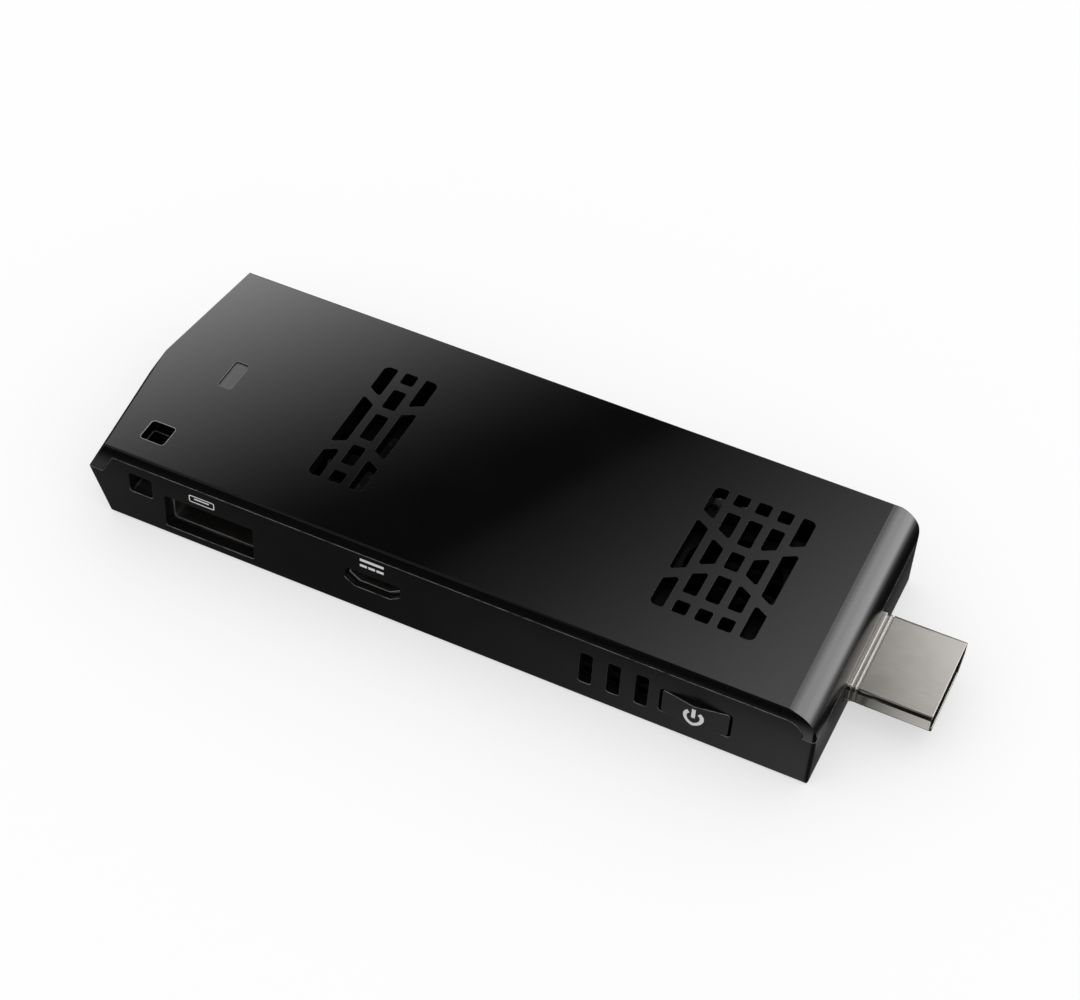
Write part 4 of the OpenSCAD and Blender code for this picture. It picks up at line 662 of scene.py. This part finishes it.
def ribbon(line, width, wall, closed=False):
    """Closed ribbon of ink along an N by 2 line of x and z in mm.

    Each point gets six corners: left, middle and right of the line, half the
    width out along the line's normal, once just under the wall and once proud
    of it. wall(x) gives the wall's y in mm.
    """
    line = np.asarray(line, float)
    if closed:
        way = np.roll(line, -1, 0) - np.roll(line, 1, 0)
    else:
        way = np.gradient(line, axis=0)
    way /= np.linalg.norm(way, axis=1, keepdims=True)
    side = np.stack([way[:, 1], -way[:, 0]], 1) * width / 2
    flat = line[:, None] + side[:, None] * np.array([-1, 0, 1])[None, :, None]
    face = wall(flat[..., 0])
    inner = np.stack([flat[..., 0], face + INK_ROOT, flat[..., 1]], -1)
    outer = np.stack([flat[..., 0], face - INK_RISE, flat[..., 1]], -1)
    grid = np.concatenate([inner, outer[:, ::-1]], 1)
    count = len(line)
    row = np.arange(count if closed else count - 1)[:, None]
    turn = np.arange(CORNERS)[None]
    after, beside = (row + 1) % count, (turn + 1) % CORNERS
    quads = np.stack([row * CORNERS + turn, row * CORNERS + beside,
                      after * CORNERS + beside, after * CORNERS + turn], -1).reshape(-1, 4)
    first_cap = np.array([[5, 4, 1, 0], [4, 3, 2, 1]])
    last_cap = np.array([[0, 1, 4, 5], [1, 2, 3, 4]]) + CORNERS * (count - 1)
    caps = [] if closed else [first_cap, last_cap]
    return grid.reshape(-1, 3) * MM, np.concatenate([quads, *caps])


def stroke(start, end, steps=9):
    """Straight line from start to end, as evenly spaced points."""
    return np.linspace(start, end, steps)


def printed(name, body, ribbons):
    """One piece of ink from several ribbons, facing outwards."""
    starts = np.cumsum([0] + [len(points) for points, _ in ribbons])
    points = np.concatenate([points for points, _ in ribbons])
    faces = np.concatenate([faces + start for (_, faces), start in zip(ribbons, starts)])
    mesh = bpy.data.meshes.new(name)
    mesh.from_pydata(points.tolist(), [], faces.tolist())
    work = bmesh.new()
    work.from_mesh(mesh)
    bmesh.ops.recalc_face_normals(work, faces=work.faces)
    work.to_mesh(mesh)
    work.free()
    piece = bpy.data.objects.new(name, mesh)
    scene.collection.objects.link(piece)
    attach(piece, body)
    print(name, "strokes:", len(ribbons), "faces:", len(faces))
    return piece


# %% [markdown]
# The signs lie on two kinds of wall: the case's flat side, and the button's
# face, which is a low roof with its ridge upright in the middle. Both are read
# from the solids, so that the ink stays on them.

# %% Walls and outlines for the signs
side_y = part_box("bottom_case")[0][1] / MM
button_low, button_high = np.array(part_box("power_button")) / MM
button_middle = (button_low[0] + button_high[0]) / 2
button_rise = side_y - button_low[1]
button_half = 4.4


def side_wall(x):
    return np.full_like(x, side_y)


def button_face(x):
    """The button's roof: highest at the middle, falling evenly to its ends."""
    return side_y - button_rise * (1 - abs(x - button_middle) / button_half)


def rounded_box(x0, x1, z0, z1, radius, steps=6):
    """Closed outline of a rectangle with round corners."""
    turn = np.linspace(0, np.pi / 2, steps)
    corners = [(x1 - radius, z1 - radius, 0), (x0 + radius, z1 - radius, 1),
               (x0 + radius, z0 + radius, 2), (x1 - radius, z0 + radius, 3)]
    return np.concatenate([np.stack([x + radius * np.cos(turn + k * np.pi / 2),
                                     z + radius * np.sin(turn + k * np.pi / 2)], 1)
                           for x, z, k in corners])


print("button's ridge at y", button_face(button_middle))

# %% [markdown]
# The ink itself is not one white: it lies thin over the grain below, so the
# black shows through in tiny specks, and the edges of a stroke are a little
# ragged. Specks from a fine noise do that.

# %% White ink and the three signs
def white_ink(wire):
    spot = place(wire)
    thin = noise(spot, 0.07, 3, 0.7)
    solid = noise(spot, 0.6).mix(grey(0.56), grey(0.66))
    return {"Base Color": thin.ramp(0.22, 0.4).mix(grey(0.3), solid),
            "Roughness": 0.5 + thin * 0.2,
            "Normal": bump(thin, 0.004)}


bar_z, bar_from, bar_to = 9.52, -15.27, -11.9
dash_z, dashes = 8.5, ((-15.28, -14.26), (-14.06, -13.12), (-12.92, -11.91))
current_sign = printed("current_sign", "case", [
    ribbon(stroke((bar_from, bar_z), (bar_to, bar_z)), 0.45, side_wall),
    *(ribbon(stroke((x0, dash_z), (x1, dash_z)), 0.42, side_wall) for x0, x1 in dashes)])

port_outline = rounded_box(-40.0, -36.4, 8.05, 9.15, 0.2)
tongue_z, tongue_from, tongue_to = 8.72, -39.3, -37.1
port_sign = printed("port_sign", "case", [
    ribbon(port_outline, 0.15, side_wall, True),
    ribbon(stroke((tongue_from, tongue_z), (tongue_to, tongue_z)), 0.22, side_wall)])

power_z, power_radius, power_line = 5.1, 1.12, 0.5
power_foot, power_top = 5.15, 6.75
sweep = np.linspace(radians(128), radians(412), 72)
open_ring = np.stack([button_middle + power_radius * np.cos(sweep),
                      power_z + power_radius * np.sin(sweep)], 1)
upright_bar = stroke((button_middle, power_foot), (button_middle, power_top))
power_sign = printed("power_sign", "button", [
    ribbon(open_ring, power_line, button_face),
    ribbon(upright_bar, power_line, button_face)])

ink = finish("white ink", white_ink)
for sign in (current_sign, port_sign, power_sign):
    sign.data.materials.append(ink)

# %% [markdown]
# Camera
#
# The photograph looks down on the near right corner from about a third of a
# metre, with a slight tilt to one side. Aiming a camera by eye never quite
# settles that. The place and the three axes were worked out from corners of
# known size, so they are set as a matrix: the first column points right in the
# picture, the second up and the third back towards the viewer.

# %% Set the camera
turn, rise, tilt = radians(22.766), radians(47.425), radians(3.521)
eye = np.array([83.808, -201.14, 241.933]) * MM
back = np.array([np.sin(turn) * np.cos(rise), -np.cos(turn) * np.cos(rise), np.sin(rise)])
level = np.array([np.cos(turn), np.sin(turn), 0])
upright = np.cross(back, level)
right = np.cos(tilt) * level + np.sin(tilt) * upright
up = np.cos(tilt) * upright - np.sin(tilt) * level
matrix = np.eye(4)
matrix[:3, :3] = np.stack([right, up, back], 1)
matrix[:3, 3] = eye

picture_width, focal_pixels = 1080, 2477.995
lens = bpy.data.cameras.new("camera")
lens.sensor_width = 36
lens.lens = focal_pixels / picture_width * lens.sensor_width
lens.shift_x, lens.shift_y = 0.01122, 0.02611
lens.clip_start, lens.clip_end = 0.01, 50
camera = bpy.data.objects.new("camera", lens)
scene.collection.objects.link(camera)
camera.matrix_world = Matrix(matrix.tolist())
scene.camera = camera
print("camera:", eye, "lens:", lens.lens)

# %% [markdown]
# Floor
#
# The background is white, so the floor is white to the camera: part of it
# glows, and part is a white surface that keeps the object's shadow. Polished
# black shows nothing of its own but what it reflects, and a white floor right
# at its foot would turn the sides grey. A photographer lays dark card there
# and lets pale strips show where an edge needs light. The floor does the same
# for reflections only: dark under and beside the stick, a pale strip along
# both long sides that grows towards the ends, one by the plug's end, one under
# the plug's near side, and pale again further out.

# %% The floor's mesh
# Half the floor's side and its place below the object, in metres
half, below = 4.0, 0.0001
steps = 9
line = np.linspace(-half, half, steps)
grid = np.stack(np.meshgrid(line, line), -1).reshape(-1, 2)
corner = (np.arange(steps - 1)[:, None] * steps + np.arange(steps - 1)[None]).ravel()
quads = np.stack([corner, corner + 1, corner + steps + 1, corner + steps], 1)
mesh = bpy.data.meshes.new("floor")
mesh.from_pydata(np.c_[grid, np.full(len(grid), -below)].tolist(), [], quads.tolist())
floor = bpy.data.objects.new("floor", mesh)
scene.collection.objects.link(floor)
print("floor:", len(mesh.polygons), "faces")

# %% [markdown]
# Each strip is a product of soft bands in x and y, in millimetres, times a
# level, where 1 is white. `foot` is the strip along the long sides and a weaker
# one further out: the gap between them is what the cover's near edge mirrors,
# so it stays dark. `out` is how far a point lies outside the stick's own
# outline. A wedge in front of the plug stays dark too, because the plug's upper
# near edge mirrors it as the dark line that separates its top from its side.

# %% The floor's material
material = bpy.data.materials.new("white floor and dark table")
material.use_nodes = True
material.node_tree.nodes.clear()
wire = Wire(material.node_tree)
along, across, _ = place(wire).parts()
wide = abs(across)

darkest_x, wedge_x = -20, 40
dark_level, wall_level, second_level, far_level = 0.012, 0.14, 0.4, 0.8
from_dark = along - darkest_x
to_ends = (from_dark * from_dark * 0.000095 + 0.03).clamp(0, 0.6)
foot = wide.band(17.5, 19, 25.5, 28) + second_level * wide.band(36, 46, 60, 90)
beside = to_ends * foot * (1 - along.ramp(45, 46.5))
by_wall = wall_level * along.band(45, 46.5, 47.2, 48.2) * across.band(-19, -17.5, 24, 27)
to_tip = ((along - 45.9) * 0.09).clamp(0, 0.9)
by_plug = to_tip * along.band(47.5, 48.5, 57.5, 60) * across.band(-14, -13, -9, -8)
out = (wide - 19).most(abs(along) - 52)
off_wedge = (abs(along - wedge_x) + across * 0.3).ramp(0, 25)
far = far_level * out.ramp(28, 80) * off_wedge
card = dark_level + beside + by_wall + by_plug + far
print("floor's reflected light, nodes:", len(material.node_tree.nodes))

# %% [markdown]
# Only mirror-like reflections get that card. Every other ray meets the white
# floor, and the Light Path node tells the two apart.

# %% White floor and dark card together
glow_level, white_level = 0.55, 0.52
glow = wire.node("Emission", None, {"Color": grey(1), "Strength": glow_level})
white = wire.node("BsdfDiffuse", None, {"Color": grey(white_level)})
pale = wire.node("AddShader", None, {0: glow, 1: white})
dim = wire.node("Emission", None, {"Color": card, "Strength": 1.0})
mirrored = wire.node("LightPath", out="Is Glossy Ray")
surface = wire.node("MixShader", None, {0: mirrored, 1: pale, 2: dim})
wire.node("OutputMaterial", None, {"Surface": surface})
mesh.materials.append(material)
print("floor nodes:", len(material.node_tree.nodes))

# %% [markdown]
# Light
#
# Two large soft boxes hang behind the object, one to the left and one to the
# right, and each fades towards the gap between them. The cover shows that gap
# as its dark middle, and the bent end gathers the right box into a bright
# line. A small gradient between them is for the plug's top. Softer boxes at
# both sides, low down behind and overhead show the form from other places.
#
# Lacquer reflects less than a tenth of what it faces squarely, so the brightest
# parts of the two large boxes are more than twice as bright as white. That has
# a price: seen from low down at the near left, the cover meets the right box at
# a flat angle, where lacquer reflects far more, and its top looks nearly white.
#
# Lamps would need many sizes and gradients to match, so the boxes are drawn
# straight into the world as a function of direction. `u` and `v` say where a
# ray meets a ceiling one unit up, to the right and to the back, and `slant` is
# an even slope over that ceiling.

# %% The soft boxes
world = bpy.data.worlds.new("studio")
scene.world = world
world.use_nodes = True
world.node_tree.nodes.clear()
wire = Wire(world.node_tree)
east, north, high = wire.node("TexCoord", out="Generated").parts()
ceiling = high.most(0.02)
u, v = east / ceiling, north / ceiling


def slant(per_u, per_v, start, bottom, top):
    """A slope over the ceiling from a start at its middle, cut off at two levels."""
    return (u * per_u + v * per_v + start).clamp(bottom, top)


left_slope = slant(-7.8, 5.2, -7.63, 0, 2.05)
left_edges = (1 - v.ramp(1.0, 1.4)) * (east + north * 0.95).ramp(-0.3, 0)
left_box = left_slope * left_slope * left_edges
right_slope = slant(4.7, -1.97, 3.66, 0, 2.45)
right_rim = slant(6.81, -3.26, 5.3, 0, 4.9)
right_edge = 1 - (east - north).ramp(0.05, 0.4)
right_box = (right_slope * right_slope).least(right_rim) * right_edge
plug_slope = slant(13.2, 12.8, -9.11684, -0.45, 0.45)
plug_step = 0.5 * u.ramp(-0.157, -0.149) - 0.5
plug_box = (plug_slope + plug_step) * u.band(-0.17, -0.155, -0.11, -0.02)
behind = ((left_box + right_box) * 0.5 + plug_box) * v.ramp(0.35, 0.75)
print("nodes for the boxes behind:", len(world.node_tree.nodes))

# %% [markdown]
# The other boxes are weaker and plainer. `high` is the sine of a direction's
# height, so the sides end below the zenith, where the overhead box begins, and
# everything fades out towards the ground.

# %% The boxes for other sides
side_level, low_level, overhead_level, gap_level = 0.8, 0.35, 0.3, 0.01
sideways = abs(east) - (north * 1.3).most(north * -0.45)
sides = side_level * sideways.ramp(0, 0.4) * (1 - high.ramp(0.75, 0.92))
low_strip = low_level * north.ramp(0.5, 0.75) * (1 - high.ramp(0.45, 0.58))
overhead = overhead_level * high.ramp(0.85, 0.98)
above_ground = high.ramp(-0.2, 0.27)
boxes = gap_level + (behind + sides + low_strip + overhead) * above_ground
print("nodes for all boxes:", len(world.node_tree.nodes))

# %% [markdown]
# What lights rough surfaces is kept apart from what reflections see: it is an
# even white, at a level that shows a colour as it is. The camera, and what is
# seen through the lamp window, get plain white.

# %% The world
fill = 0.85
ray_kinds = ("Is Glossy Ray", "Is Camera Ray", "Is Transmission Ray")
mirrored, seen, through = (wire.node("LightPath", out=kind) for kind in ray_kinds)
light = fill + mirrored * (boxes - fill) + (seen + through) * (1 - fill)
backdrop = wire.node("Background", None, {"Color": light, "Strength": 1.0})
wire.node("OutputWorld", None, {"Surface": backdrop})
print("world nodes:", len(world.node_tree.nodes))
